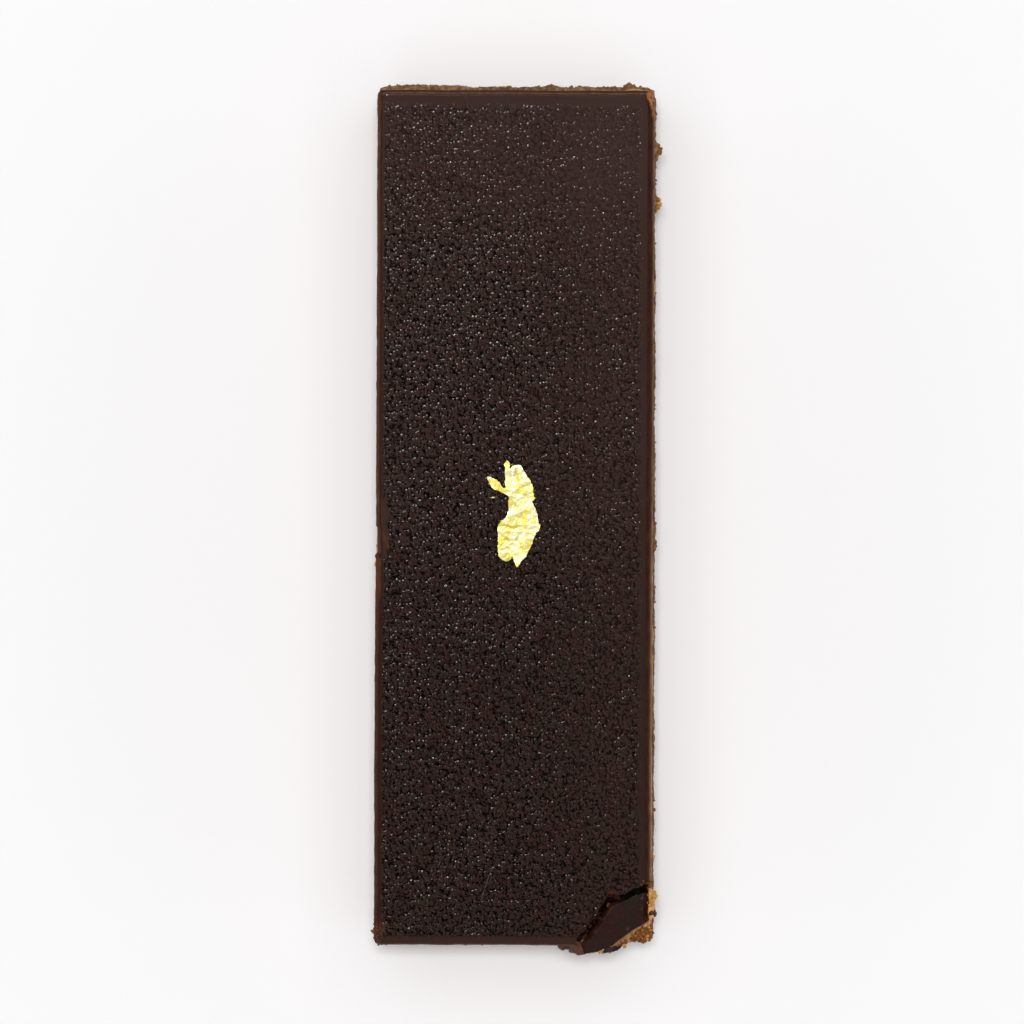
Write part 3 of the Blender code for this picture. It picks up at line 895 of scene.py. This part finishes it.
def scoop_cream(block, cream):
    """Opens the upper buttercream round the sunk piece, and scrapes it off beyond."""
    torn = [(0.2 * MM, 1.3 * MM, 75), (0.12 * MM, 0.45 * MM, 76)]
    cut_away(block, rough_form("crumbled_form", BREAK_LINE + [OUTER_CORNER], TOP - GLAZE - 0.2 * MM,
                               TOP + GLAZE, 0.15 * MM, torn, cream))
    pocket = rough_form("pocket_form", grown(CORNER_PIECE, 0.12), -GLAZE - 0.05 * MM, 2 * GLAZE,
                        0.17 * MM, torn, cream)
    pocket.data.transform(sunk_matrix())
    cut_away(block, pocket)
    scraped = SCRAPED_LINE + [(19.5, -56.5)]
    ragged = [(0.3 * MM, 1.1 * MM, 79), (0.14 * MM, 0.4 * MM, 84)]
    return cut_away(block, rough_form("scrape_form", scraped, BOUNDARIES[5] - 1.0 * MM, TOP, 0.15 * MM,
                                      ragged, cream))


def paint_crack_shade(block):
    """Paints shade, near black, on the buttercream down in the deep, narrow crack."""
    values = []
    for vert in block.data.vertices:
        away = (Vector(vert.co.xy) - HINGE).dot(OUTWARD.xy) / MM
        inside = ramp(away, -2.5, -1.5) * (1 - ramp(away, 1.3, 2.4))
        near = max(ramp(vert.co.y / MM, -52.4, -51.9), ramp((vert.co.z - TOP) / MM, -3.5, -3.1))
        values.append(inside * near * ramp(vert.co.x / MM, 5.5, 7.5) * (1 - ramp(vert.co.x / MM, 16.6, 17.1)))
    keep_values(block.data, "crack_painted_shade", values)
    return block


def bite_sponge(block, sponge):
    """Roughens the top sponge where the lost corner leaves it bare."""
    torn = [(0.34 * MM, 1.2 * MM, 77), (0.2 * MM, 0.5 * MM, 78)]
    bare = [(8.0, -57.0), (10.5, -53.4), (13.2, -51.9), (15.0, -50.6), (19.0, -48.6), (19.5, -57.0)]
    return cut_away(block, rough_form("bite_form", bare, BOUNDARIES[5] - 0.25 * MM, TOP, 0.15 * MM,
                                      torn, sponge))


def glaze_chip(name, outline, below, thickness, slope, material):
    """A bit of broken glaze with its top a depth below the glaze's, sloping down along `slope`."""
    top = TOP - below * MM
    middle = Vector((sum(x for x, _ in outline), sum(y for _, y in outline), 0)) / len(outline) * MM
    facet = (middle + Vector((0, 0, top)), Vector((*slope, 1)).normalized())
    form = rough_form(name, outline, top - thickness * MM, top + MM, 0.06 * MM,
                      [(0.16 * MM, 0.6 * MM, 93), (0.06 * MM, 0.2 * MM, 94)], material, bevelled=facet)
    return shade(form, 35)


# ---------------------------------------------------------------- the gold leaf

# Each strip of the leaf as pairs of points on its two edges, in millimetres
LEAF_BODY = [((-1.95, -3.6), (2.05, -3.6)), ((-2.0, -2.6), (2.4, -2.6)), ((-2.0, -1.9), (2.65, -1.9)),
             ((-2.05, -1.5), (3.05, -1.6)), ((-1.95, -0.9), (3.25, -1.0)), ((-1.6, -0.4), (2.95, -0.6)),
             ((-1.0, 0.0), (2.95, -0.1)), ((-0.7, 0.9), (2.7, 0.9)), ((-0.75, 2.0), (2.2, 1.95)),
             ((-0.65, 2.4), (2.6, 2.35)), ((-0.9, 2.9), (2.4, 2.6)), ((-1.05, 3.7), (2.3, 3.7)),
             ((-1.2, 4.5), (2.0, 4.5)), ((-0.7, 5.1), (1.5, 5.2)), ((-0.55, 5.9), (1.05, 5.9)),
             ((-0.3, 6.3), (0.85, 6.4)), ((0.1, 6.45), (0.55, 6.5))]
LEAF_LOBE = [((-1.95, -3.3), (0.4, -3.3)), ((-2.0, -4.1), (0.1, -4.1)), ((-1.85, -4.8), (-0.15, -4.7)),
             ((-1.5, -5.2), (-0.35, -5.1)), ((-1.0, -5.4), (-0.7, -5.35))]
LEAF_FOOT = [((-0.4, -3.3), (2.15, -3.3)), ((-0.25, -4.3), (1.7, -4.3)), ((-0.15, -4.9), (1.4, -4.9)),
             ((-0.05, -5.3), (0.95, -5.3)), ((0.1, -5.7), (0.7, -5.65)), ((0.35, -6.1), (0.5, -6.1))]
LEAF_ARM = [((-0.3, 2.5), (-0.6, 3.7)), ((-0.95, 2.8), (-1.15, 3.6)), ((-1.5, 3.05), (-1.5, 3.75)),
            ((-1.9, 3.25), (-1.8, 4.25)), ((-2.4, 3.45), (-2.1, 4.6)), ((-2.85, 3.75), (-2.6, 4.85)),
            ((-3.15, 4.35), (-3.0, 4.95)), ((-3.42, 4.95), (-3.35, 5.02))]
LEAF_SPIKE = [((-1.1, 4.2), (-0.3, 4.2)), ((-1.15, 5.2), (-0.45, 5.2)), ((-1.15, 6.1), (-0.6, 6.1)),
              ((-1.3, 6.5), (-0.55, 6.5)), ((-0.95, 7.0), (-0.8, 7.0))]
LEAF_SLIVER = [((-3.05, 2.4), (-3.05, 2.46)), ((-2.6, 2.4), (-2.62, 2.54)), ((-2.15, 2.52), (-2.17, 2.58))]
# Long creases where the leaf folds: a line's two ends and how deep it is, in millimetres
LEAF_CREASES = [((-2.0, -0.9), (2.2, -1.6), 0.09), ((0.1, 6.0), (0.6, 4.4), 0.16), ((0.5, 3.4), (2.3, 4.4), 0.1),
                ((0.2, 1.6), (1.5, -0.6), 0.1), ((-1.6, -2.2), (0.2, -3.6), 0.1), ((0.4, -2.4), (1.2, -4.4), 0.1)]
FOIL_STEP = 0.08 * MM
FOIL_THICKNESS = 0.02 * MM


def crease_depth(x, y):
    """How deep the folds are at a point of the leaf, in millimetres."""
    point = Vector((x, y)) / MM
    depth = 0.0
    for start, end, deepest in LEAF_CREASES:
        start, end = Vector(start), Vector(end)
        along = (end - start).normalized()
        reach = (point - start).dot(along)
        bent = 0.25 * wavering(reach * MM, deepest, 0, 1.3 * MM, 86)
        side = abs((point - start).dot(Vector((-along.y, along.x))) + bent)
        ends = ramp(reach, -0.4, 0.3) * (1 - ramp(reach, (end - start).length - 0.3, (end - start).length + 0.4))
        depth += deepest * ends * max(0.0, 1 - side / 0.4)
    return depth


def crumple(x, y):
    """The height of crumpled foil: ridges of three sizes, less its folds, in metres."""
    height = 0.3
    for depth, length in ((0.22, 2.1), (0.10, 0.85), (0.045, 0.4)):
        height += depth * (0.5 - abs(wavering(x, y, 0, length * MM, 80 + length)) * 1.6)
    return max(0.0, height - crease_depth(x, y)) * MM


def foil_strip(pairs, channel, lift):
    """Points and faces of one crumpled strip of foil laid between pairs of edge points."""
    points, faces = [], []
    widest = max((Vector(left) - Vector(right)).length for left, right in pairs)
    across = max(2, round(widest * MM / FOIL_STEP))
    rows = []
    for (left, right), (next_left, next_right) in zip(pairs, pairs[1:]):
        left, right, next_left, next_right = Vector(left), Vector(right), Vector(next_left), Vector(next_right)
        length = max((next_left - left).length, (next_right - right).length)
        steps = max(1, round(length * MM / FOIL_STEP))
        rows += [(left.lerp(next_left, s / steps), right.lerp(next_right, s / steps)) for s in range(steps)]
    rows.append((Vector(pairs[-1][0]), Vector(pairs[-1][1])))
    for along, (left, right) in enumerate(rows):
        way = (right - left).normalized()
        left += way * 0.1 * wavering(along * FOIL_STEP, 3, 0, 0.3 * MM, channel)
        right += way * 0.1 * wavering(along * FOIL_STEP, 7, 0, 0.3 * MM, channel)
        for c in range(across + 1):
            x, y = left.lerp(right, c / across) * MM
            points.append((x, y, TOP + lift + crumple(x, y)))
    width = across + 1
    for r in range(len(rows) - 1):
        for c in range(across):
            faces.append((r * width + c, r * width + c + 1, (r + 1) * width + c + 1, (r + 1) * width + c))
    return points, faces


def gold_leaf(gold):
    """The crumpled fleck: its overlapping strips and a loose sliver, each a thin closed foil."""
    strips = ((LEAF_BODY, 87, 0.08), (LEAF_LOBE, 88, 0.04), (LEAF_FOOT, 89, 0.12), (LEAF_ARM, 90, 0.12),
              (LEAF_SPIKE, 91, 0.14), (LEAF_SLIVER, 92, 0.02))
    points, faces = [], []
    for pairs, channel, lift in strips:
        start = len(points)
        strip_points, strip_faces = foil_strip(pairs, channel, lift * MM)
        points += strip_points
        faces += [tuple(start + i for i in face) for face in strip_faces]
    mesh = mesh_of("gold_leaf_fleck", points, faces)
    if sum(face.normal.z for face in mesh.polygons) < 0:
        mesh.flip_normals()
    # The fold depth, kept for the painted shade in the leaf's creases.
    keep_values(mesh, "crease_painted_shade", [min(1.0, crease_depth(x, y) / 0.12) for x, y, _ in points])
    leaf = new_piece("gold_leaf_fleck", mesh, gold)
    shell = leaf.modifiers.new("foil", "SOLIDIFY")
    shell.thickness = FOIL_THICKNESS
    shell.offset = -1
    settle(leaf)
    return shade(leaf, 60)


# ---------------------------------------------------------------- crumbs


def crumb_scatter_tree():
    """Sets a dented crumb on each point, by the point's own size and turn. Dent is a share of its size."""
    tree, given = shaping_tree("Loose crumbs", ["Dent", "Dent Length"])
    lump = node(tree, "GeometryNodeMeshIcoSphere", {"Radius": 1.0, "Subdivisions": 3})
    inputs = {"Points": given["Geometry"], "Instance": lump.outputs["Mesh"],
              "Rotation": stored(tree, "turn", "FLOAT_VECTOR"), "Scale": stored(tree, "size", "FLOAT_VECTOR")}
    placed = node(tree, "GeometryNodeInstanceOnPoints", inputs)
    real = node(tree, "GeometryNodeRealizeInstances", {"Geometry": placed.outputs[0]})
    place = node(tree, "GeometryNodeInputPosition").outputs[0]
    scale = maths(tree, "DIVIDE", 1.0, given["Dent Length"])
    noise_node = node(tree, "ShaderNodeTexNoise", {"Vector": place, "Scale": scale, "Detail": 2.0})
    own_size = node(tree, "ShaderNodeVectorMath", {0: stored(tree, "size", "FLOAT_VECTOR")}, operation="LENGTH")
    deepest = maths(tree, "MULTIPLY", own_size.outputs["Value"], given["Dent"])
    dent = maths(tree, "MULTIPLY", maths(tree, "SUBTRACT", noise_node.outputs[0], 0.5), deepest)
    normal = node(tree, "GeometryNodeInputNormal").outputs[0]
    offset = node(tree, "ShaderNodeVectorMath", {0: normal, "Scale": dent}, operation="SCALE").outputs[0]
    moved = node(tree, "GeometryNodeSetPosition", {"Geometry": real.outputs[0], "Offset": offset})
    end_tree(tree, moved.outputs[0], given["Material"])
    return tree


def nearest_surface(pieces, start, way):
    """Where a straight line first meets any of the pieces. All in metres, in the shared frame."""
    found = []
    for piece in pieces:
        hit, place, _, _ = piece.ray_cast(Vector(start), Vector(way))
        if hit:
            found.append(((place - Vector(start)).length, place))
    return min(found)[1] if found else None


def cluster(chance, count, along, half, height, largest):
    """Random crumbs (place along a side, height, size) bunched round a place on that side."""
    return [(along + half * chance.triangular(-1, 1, 0), height + chance.uniform(-0.8, 0.8),
             chance.uniform(0.5, 1) * largest) for _ in range(count)]


def from_above(pieces, spots):
    """Rests crumbs (x, y, size) on whatever is highest there."""
    return [(nearest_surface(pieces, (x * MM, y * MM, 2 * TOP), (0, 0, -1)), s) for x, y, s in spots]


def from_the_side(pieces, side, spots):
    """Sticks crumbs (place along the side, height, size) to a side of the bar."""
    found = []
    for along, height, size in spots:
        way = {"right": (-1, 0, 0), "left": (1, 0, 0), "back": (0, -1, 0), "front": (0, 1, 0)}[side]
        beside = (0, along) if way[0] else (along, 0)
        start = (beside[0] * MM - way[0] * LENGTH, beside[1] * MM - way[1] * LENGTH, height * MM)
        found.append((nearest_surface(pieces, start, way), size))
    return found


def loose_crumbs(name, tree, material, spots):
    """Crumbs at places in metres, with sizes in millimetres. A crumb with one size is turned any way, and
    one with three keeps them along X, Y and Z."""
    chance = random.Random(name)
    places, sizes, turns = [], [], []
    for place, size in spots:
        if place:
            alone = not isinstance(size, tuple)
            places.append(place)
            sizes.append([c * MM for c in ((size, 0.75 * size, 0.6 * size) if alone else size)])
            turns.append([chance.uniform(0, math.tau) if alone else 0.0 for _ in range(3)])
    mesh = mesh_of(name, places, [])
    keep_vectors(mesh, "size", sizes)
    keep_vectors(mesh, "turn", turns)
    piece = new_piece(name, mesh)
    shape(piece, tree, material, {"Dent": 1.5, "Dent Length": 0.4 * MM})
    return shade(piece, 28)


def scattered(count, chance, outline, smallest, largest):
    """Random spots (x, y, size) inside an outline in millimetres."""
    spots = []
    low_x, high_x = min(x for x, _ in outline), max(x for x, _ in outline)
    low_y, high_y = min(y for _, y in outline), max(y for _, y in outline)
    while len(spots) < count:
        x, y = chance.uniform(low_x, high_x), chance.uniform(low_y, high_y)
        crossings = 0
        for (x0, y0), (x1, y1) in zip(outline, outline[1:] + outline[:1]):
            if (y0 > y) != (y1 > y) and x < x0 + (x1 - x0) * (y - y0) / (y1 - y0):
                crossings += 1
        if crossings % 2:
            spots.append((x, y, chance.uniform(smallest, largest)))
    return spots


# ---------------------------------------------------------------- stage, light and camera


def stage_floor():
    floor = new_piece("floor", mesh_of("floor", [(-3, -3, 0), (3, -3, 0), (3, 3, 0), (-3, 3, 0)], [(0, 1, 2, 3)]))
    material, tree, shader, place = new_finish("pale_floor", 0.9, specular=0.0)
    shader.inputs["Base Color"].default_value = rgb(0.93, 0.925, 0.935)
    floor.data.materials.append(material)


def sky():
    """A pale room with a dark patch straight overhead, so that the flat top stays dark and rims light up."""
    world = bpy.data.worlds.new("pale_room")
    bpy.context.scene.world = world
    world.use_nodes = True
    tree = world.node_tree
    up = node(tree, "ShaderNodeSeparateXYZ",
              {0: node(tree, "ShaderNodeTexCoord").outputs["Generated"]}).outputs["Z"]
    level = span(tree, up, 0.70, 0.42, 0.03, 0.8)
    background = tree.nodes["Background"]
    background.inputs["Color"].default_value = rgb(1.0, 0.99, 1.0)
    tree.links.new(level, background.inputs["Strength"])


def soft_light(name, place, size, power, seen_in="glossy"):
    """A square light aimed at the cake. It acts on shiny reflections alone, or on diffuse light alone."""
    light = bpy.data.lights.new(name, "AREA")
    light.shape = "SQUARE"
    light.size = size
    light.energy = power
    lamp = bpy.data.objects.new(name, light)
    bpy.context.scene.collection.objects.link(lamp)
    lamp.location = place
    lamp.rotation_mode = "QUATERNION"
    lamp.rotation_quaternion = (Vector((0, 0, 0.02)) - Vector(place)).to_track_quat("-Z", "Y")
    lamp.visible_glossy = seen_in == "glossy"
    lamp.visible_diffuse = seen_in == "diffuse"
    lamp.visible_camera = False
    return lamp


def lights(leaf):
    """Two lights for the matt surfaces, three for the glints, and one that the leaf alone reflects."""
    soft_light("overhead", (-0.01, 0.06, 1.6), 0.12, 11.6, seen_in="diffuse")
    soft_light("ceiling", (-0.01, 0.07, 1.6), 1.2, 10.0, seen_in="diffuse")
    soft_light("key", (-0.25, 0.65, 1.2), 0.28, 7.0)
    for x, y in ((0.9, 0.6), (-0.95, -0.5)):
        soft_light("fill", (x, y, 0.85), 0.4, 2.4)
    if leaf:
        leaf_only = bpy.data.collections.new("leaf_only")
        leaf_only.objects.link(leaf)
        reflector = soft_light("leaf_reflector", (0.0, 0.1, 0.9), 2.2, 12.0)
        reflector.light_linking.receiver_collection = leaf_only


def overhead_camera():
    """Straight above the bar, far off with a long lens, so that the sides stay out of sight."""
    distance = 1.1
    view_width = 0.1262
    centre = Vector((-0.283, 0.678)) * MM
    camera = bpy.data.cameras.new("camera")
    camera.sensor_width = 36
    camera.lens = camera.sensor_width * distance / view_width
    camera.clip_start = 0.01
    camera.clip_end = 20
    eye = bpy.data.objects.new("camera", camera)
    bpy.context.scene.collection.objects.link(eye)
    eye.location = (centre.x, centre.y, TOP + distance)
    eye.rotation_euler = (0, 0, math.radians(0.2))
    bpy.context.scene.camera = eye


# ---------------------------------------------------------------- putting it together


def build():
    glaze, rim, snapped = glaze_finish(), rim_finish(), snapped_finish()
    sponge = sponge_finish("soaked_joconde", rgb(0.218, 0.117, 0.052), rgb(0.122, 0.054, 0.021),
                           rgb(0.36, 0.215, 0.100))
    torn_sponge = sponge_finish("torn_joconde", rgb(0.275, 0.090, 0.018), rgb(0.175, 0.050, 0.009),
                                rgb(0.42, 0.20, 0.065))
    cream = cream_finish("coffee_buttercream", rgb(0.36, 0.195, 0.072), rgb(0.50, 0.30, 0.125))
    torn_cream = cream_finish("torn_buttercream", rgb(0.22, 0.085, 0.022), rgb(0.50, 0.28, 0.100), 1.0)
    squeezed_cream = cream_finish("squeezed_buttercream", rgb(0.28, 0.100, 0.018), rgb(0.72, 0.39, 0.085), 1.0)
    ganache = ganache_finish()
    gold = gold_finish()
    golden = crumb_finish("golden_crumb", rgb(0.64, 0.37, 0.095), rgb(0.40, 0.185, 0.035))
    toasted = crumb_finish("toasted_crumb", rgb(0.27, 0.105, 0.026), rgb(0.125, 0.042, 0.011))
    dark = crumb_finish("dark_crumb", rgb(0.085, 0.032, 0.018), rgb(0.020, 0.008, 0.005))

    torn, knifed = crumb_tree(), knife_tree()
    sponge_sizes = {"Wander": 0.5 * MM, "Tear": 0.75 * MM, "Pore Depth": 0.45 * MM,
                    "Pore Spacing": 1.15 * MM, "Crumb": 0.3 * MM}
    cream_sizes = {"Wander": 0.35 * MM, "Drag": 0.12 * MM, "Pit Depth": 0.15 * MM}

    lumps = [("right", 45.6, 1.4, 0.62), ("right", 39.1, 1.3, 0.66), ("right", -3.4, 1.0, 0.25),
             ("front", 8.5, 3.6, 0.6), ("front", 12.1, 2.8, 0.75), ("back", 14.2, 0.9, 0.35),
             ("back", -13.0, 3.0, 0.15), ("back", 4.5, 1.4, 0.15), ("left", -6.5, 3.0, 0.1)]
    bottom = shape(layer_block("bottom_joconde", 0, SPONGE_STEP, standing_out(0.0, 0.3, 0.0, 0.4)),
                   torn, sponge, sponge_sizes)
    middle = shape(layer_block("middle_joconde", 2, SPONGE_STEP, standing_out(0.0, 0.25, 0.0, 0.45)),
                   torn, sponge, sponge_sizes)
    upper = shape(layer_block("top_joconde", 4, SPONGE_STEP, standing_out(0.0, 0.35, 0.05, 0.84, lumps)),
                  torn, sponge, sponge_sizes)
    bite_sponge(upper, torn_sponge)
    for piece, solid in ((bottom, "joconde_bottom"), (middle, "joconde_middle"), (upper, "joconde_top")):
        dress(shade(piece, 60), "joconde", solid)

    smears = [("right", -47.6, 2.2, 0.35), ("right", 28.3, 1.5, 0.25), ("right", -14.5, 1.6, 0.22),
              ("front", 11.5, 3.0, 0.6), ("back", 14.8, 1.9, 0.4)]
    lower_cream = shape(layer_block("lower_cream", 1, CREAM_STEP, standing_out(-0.05, 0.1, -0.05, 0.15)),
                        knifed, cream, cream_sizes)
    upper_cream = shape(layer_block("upper_cream", 5, CREAM_STEP, standing_out(-0.05, 0.12, -0.05, 0.15, smears)),
                        knifed, cream, cream_sizes)
    paint_crack_shade(scoop_cream(upper_cream, torn_cream))
    dress(shade(lower_cream, 50), "buttercream", "buttercream_lower")
    dress(shade(upper_cream, 50), "buttercream", "buttercream_upper")

    filling = shape(layer_block("ganache_band", 3, CREAM_STEP, standing_out(-0.05, 0.1, -0.05, 0.1)),
                    knifed, ganache, cream_sizes)
    dress(shade(filling, 50), "ganache", "ganache")

    slab = shape(glaze_block(rim), pebble_tree(), glaze,
                 {"Pebble Spacing": PEBBLE, "Relief": PEBBLE_RELIEF, "Swell": 0.2 * MM})
    break_glaze(slab, snapped)
    dress(shade(slab, 45), "glaze", "glaze")
    flake = dress(corner_flake(glaze, rim, snapped), "glaze", "glaze_corner")
    dress(glaze_chip("snapped_chip", SNAPPED_CHIP, 0.7, 1.5, (-0.5, -0.45), snapped), "glaze")
    dress(glaze_chip("front_chip", FRONT_CHIP, 1.0, 1.0, (0.1, -0.5), snapped), "glaze")
    dress(glaze_chip("chocolate_sliver", SLIVER, 1.8, 0.7, (0.1, -0.3), glaze), "glaze")
    squeezed = rough_form("squeezed_cream", SQUEEZED_CREAM, TOP - 3.6 * MM, TOP - 1.7 * MM, 0.07 * MM,
                          [(0.2 * MM, 0.8 * MM, 95), (0.16 * MM, 0.35 * MM, 96)], squeezed_cream)
    dress(shade(squeezed, 50), "buttercream")
    leaf = dress(gold_leaf(gold), "gold_leaf", "gold_leaf")

    scatter = crumb_scatter_tree()
    chance = random.Random(7)
    cake = [upper, upper_cream, slab, flake, squeezed]
    bare = [(8.6, -54.2), (12.3, -53.3), (15.3, -51.0), (16.9, -50.0), (17.2, -52.6), (14, -53.2), (9.5, -53.6)]
    sponge_level = (BOUNDARIES[5] - 1.0 * MM) / MM
    cream_level = (BOUNDARIES[6] - 0.9 * MM) / MM

    band = [(16.6, -45.4), (17.3, -45.6), (17.4, -49.3), (16.6, -49.0)]
    strip = [(12.3, -53.2), (14.2, -51.5), (16.8, -49.9), (17.3, -49.9), (17.2, -51.2), (15, -52.2), (12.8, -53.7)]
    level = sponge_level
    golden_spots = from_above(cake, scattered(10, chance, bare, 0.14, 0.3) + scattered(6, chance, band, 0.12, 0.24)
                              + scattered(8, chance, strip, 0.15, 0.35))
    golden_spots += from_the_side(cake, "right", cluster(chance, 5, 39.7, 0.4, level, 0.26)
                                  + cluster(chance, 12, 38.6, 0.9, level, 0.34)
                                  + cluster(chance, 8, -42.0, 0.9, level, 0.25)
                                  + cluster(chance, 8, -46.8, 1.0, cream_level, 0.35)
                                  + cluster(chance, 3, 36.5, 0.3, cream_level, 0.22))
    golden_spots += from_the_side(cake, "left", [(-5.8, cream_level, (0.3, 0.3, 0.4))])
    golden_spots += [(Vector((10.85, -53.5, 24.3)) * MM, (0.36, 0.42, 0.45)),
                     (Vector((13.8, -53.0, 24.0)) * MM, (0.22, 0.28, 0.3))]
    dress(loose_crumbs("golden_crumbs", scatter, golden, golden_spots), "joconde")

    gap = [(8.2, -52.6), (9.3, -50.6), (10.7, -48.7), (11.3, -49.1), (9.9, -51.2), (8.9, -52.8)]
    left_corner = [(-17.3, -52.3), (-17.2, -49.6), (-16.2, -49.8), (-15.6, -51.3), (-16.3, -52.4)]
    toasted_spots = from_above(cake, scattered(40, chance, bare, 0.14, 0.36) + scattered(18, chance, strip, 0.12, 0.28))
    toasted_spots += from_above(cake, scattered(7, chance, left_corner, 0.07, 0.16))
    toasted_spots += from_above(cake, [(11.8, -47.9, 0.3), (16.5, -45.0, 0.3), (16.9, -45.3, 0.28),
                                       (16.1, -44.8, 0.18), (15.8, -45.2, 0.16), (16.9, -45.55, 0.34),
                                       (17.1, -45.2, 0.3), (16.7, -45.7, 0.22)])
    beside = [(chance.uniform(-50, 52), chance.uniform(18.5, 22), chance.uniform(0.12, 0.28)) for _ in range(40)]
    behind = [(chance.uniform(-16, 16), chance.uniform(19, 22), chance.uniform(0.1, 0.26)) for _ in range(60)]
    toasted_spots += from_the_side(cake, "right", beside + cluster(chance, 16, 45.6, 1.3, level, 0.3)
                                   + cluster(chance, 6, 38.0, 1.3, level, 0.3)
                                   + cluster(chance, 8, -3.5, 0.9, level, 0.22)
                                   + cluster(chance, 6, -51.3, 0.6, level, 0.35))
    toasted_spots += from_the_side(cake, "back", behind + cluster(chance, 9, 14.1, 0.7, level, 0.36)
                                   + cluster(chance, 10, -12.0, 1.3, level, 0.26)
                                   + cluster(chance, 8, 4.3, 0.8, level, 0.26)
                                   + cluster(chance, 10, 11.5, 1.4, level, 0.24))
    toasted_spots += from_the_side(cake, "left", cluster(chance, 9, -51.1, 0.7, cream_level + 1.2, 0.26)
                                   + [(-51.1, cream_level + 1.5, (0.45, 0.14, 0.15))])
    toasted_spots += from_the_side(cake, "front", cluster(chance, 6, -16.0, 0.6, cream_level + 1.2, 0.26)
                                   + [(-5.8, cream_level + 1.8, 0.2), (-3.8, cream_level + 1.8, 0.22)]
                                   + cluster(chance, 6, 16.2, 0.5, level, 0.35))
    dress(loose_crumbs("toasted_crumbs", scatter, toasted, toasted_spots), "joconde")

    dark_spots = from_above(cake, [(17.15, -48.8, 0.42), (17.35, -48.6, 0.34)]
                            + scattered(8, chance, bare, 0.12, 0.25) + scattered(18, chance, gap, 0.12, 0.3)
                            + scattered(24, chance, left_corner, 0.08, 0.22))
    dark_spots += from_the_side(cake, "right", [(-49.0, level + 0.6, (0.35, 0.4, 0.4)),
                                                (-51.5, level, (0.4, 0.12, 0.15))])
    dress(loose_crumbs("dark_crumbs", scatter, dark, dark_spots), "glaze")

    stage_floor()
    sky()
    lights(leaf)
    overhead_camera()
    bpy.context.scene.view_settings.view_transform = "Standard"


build()
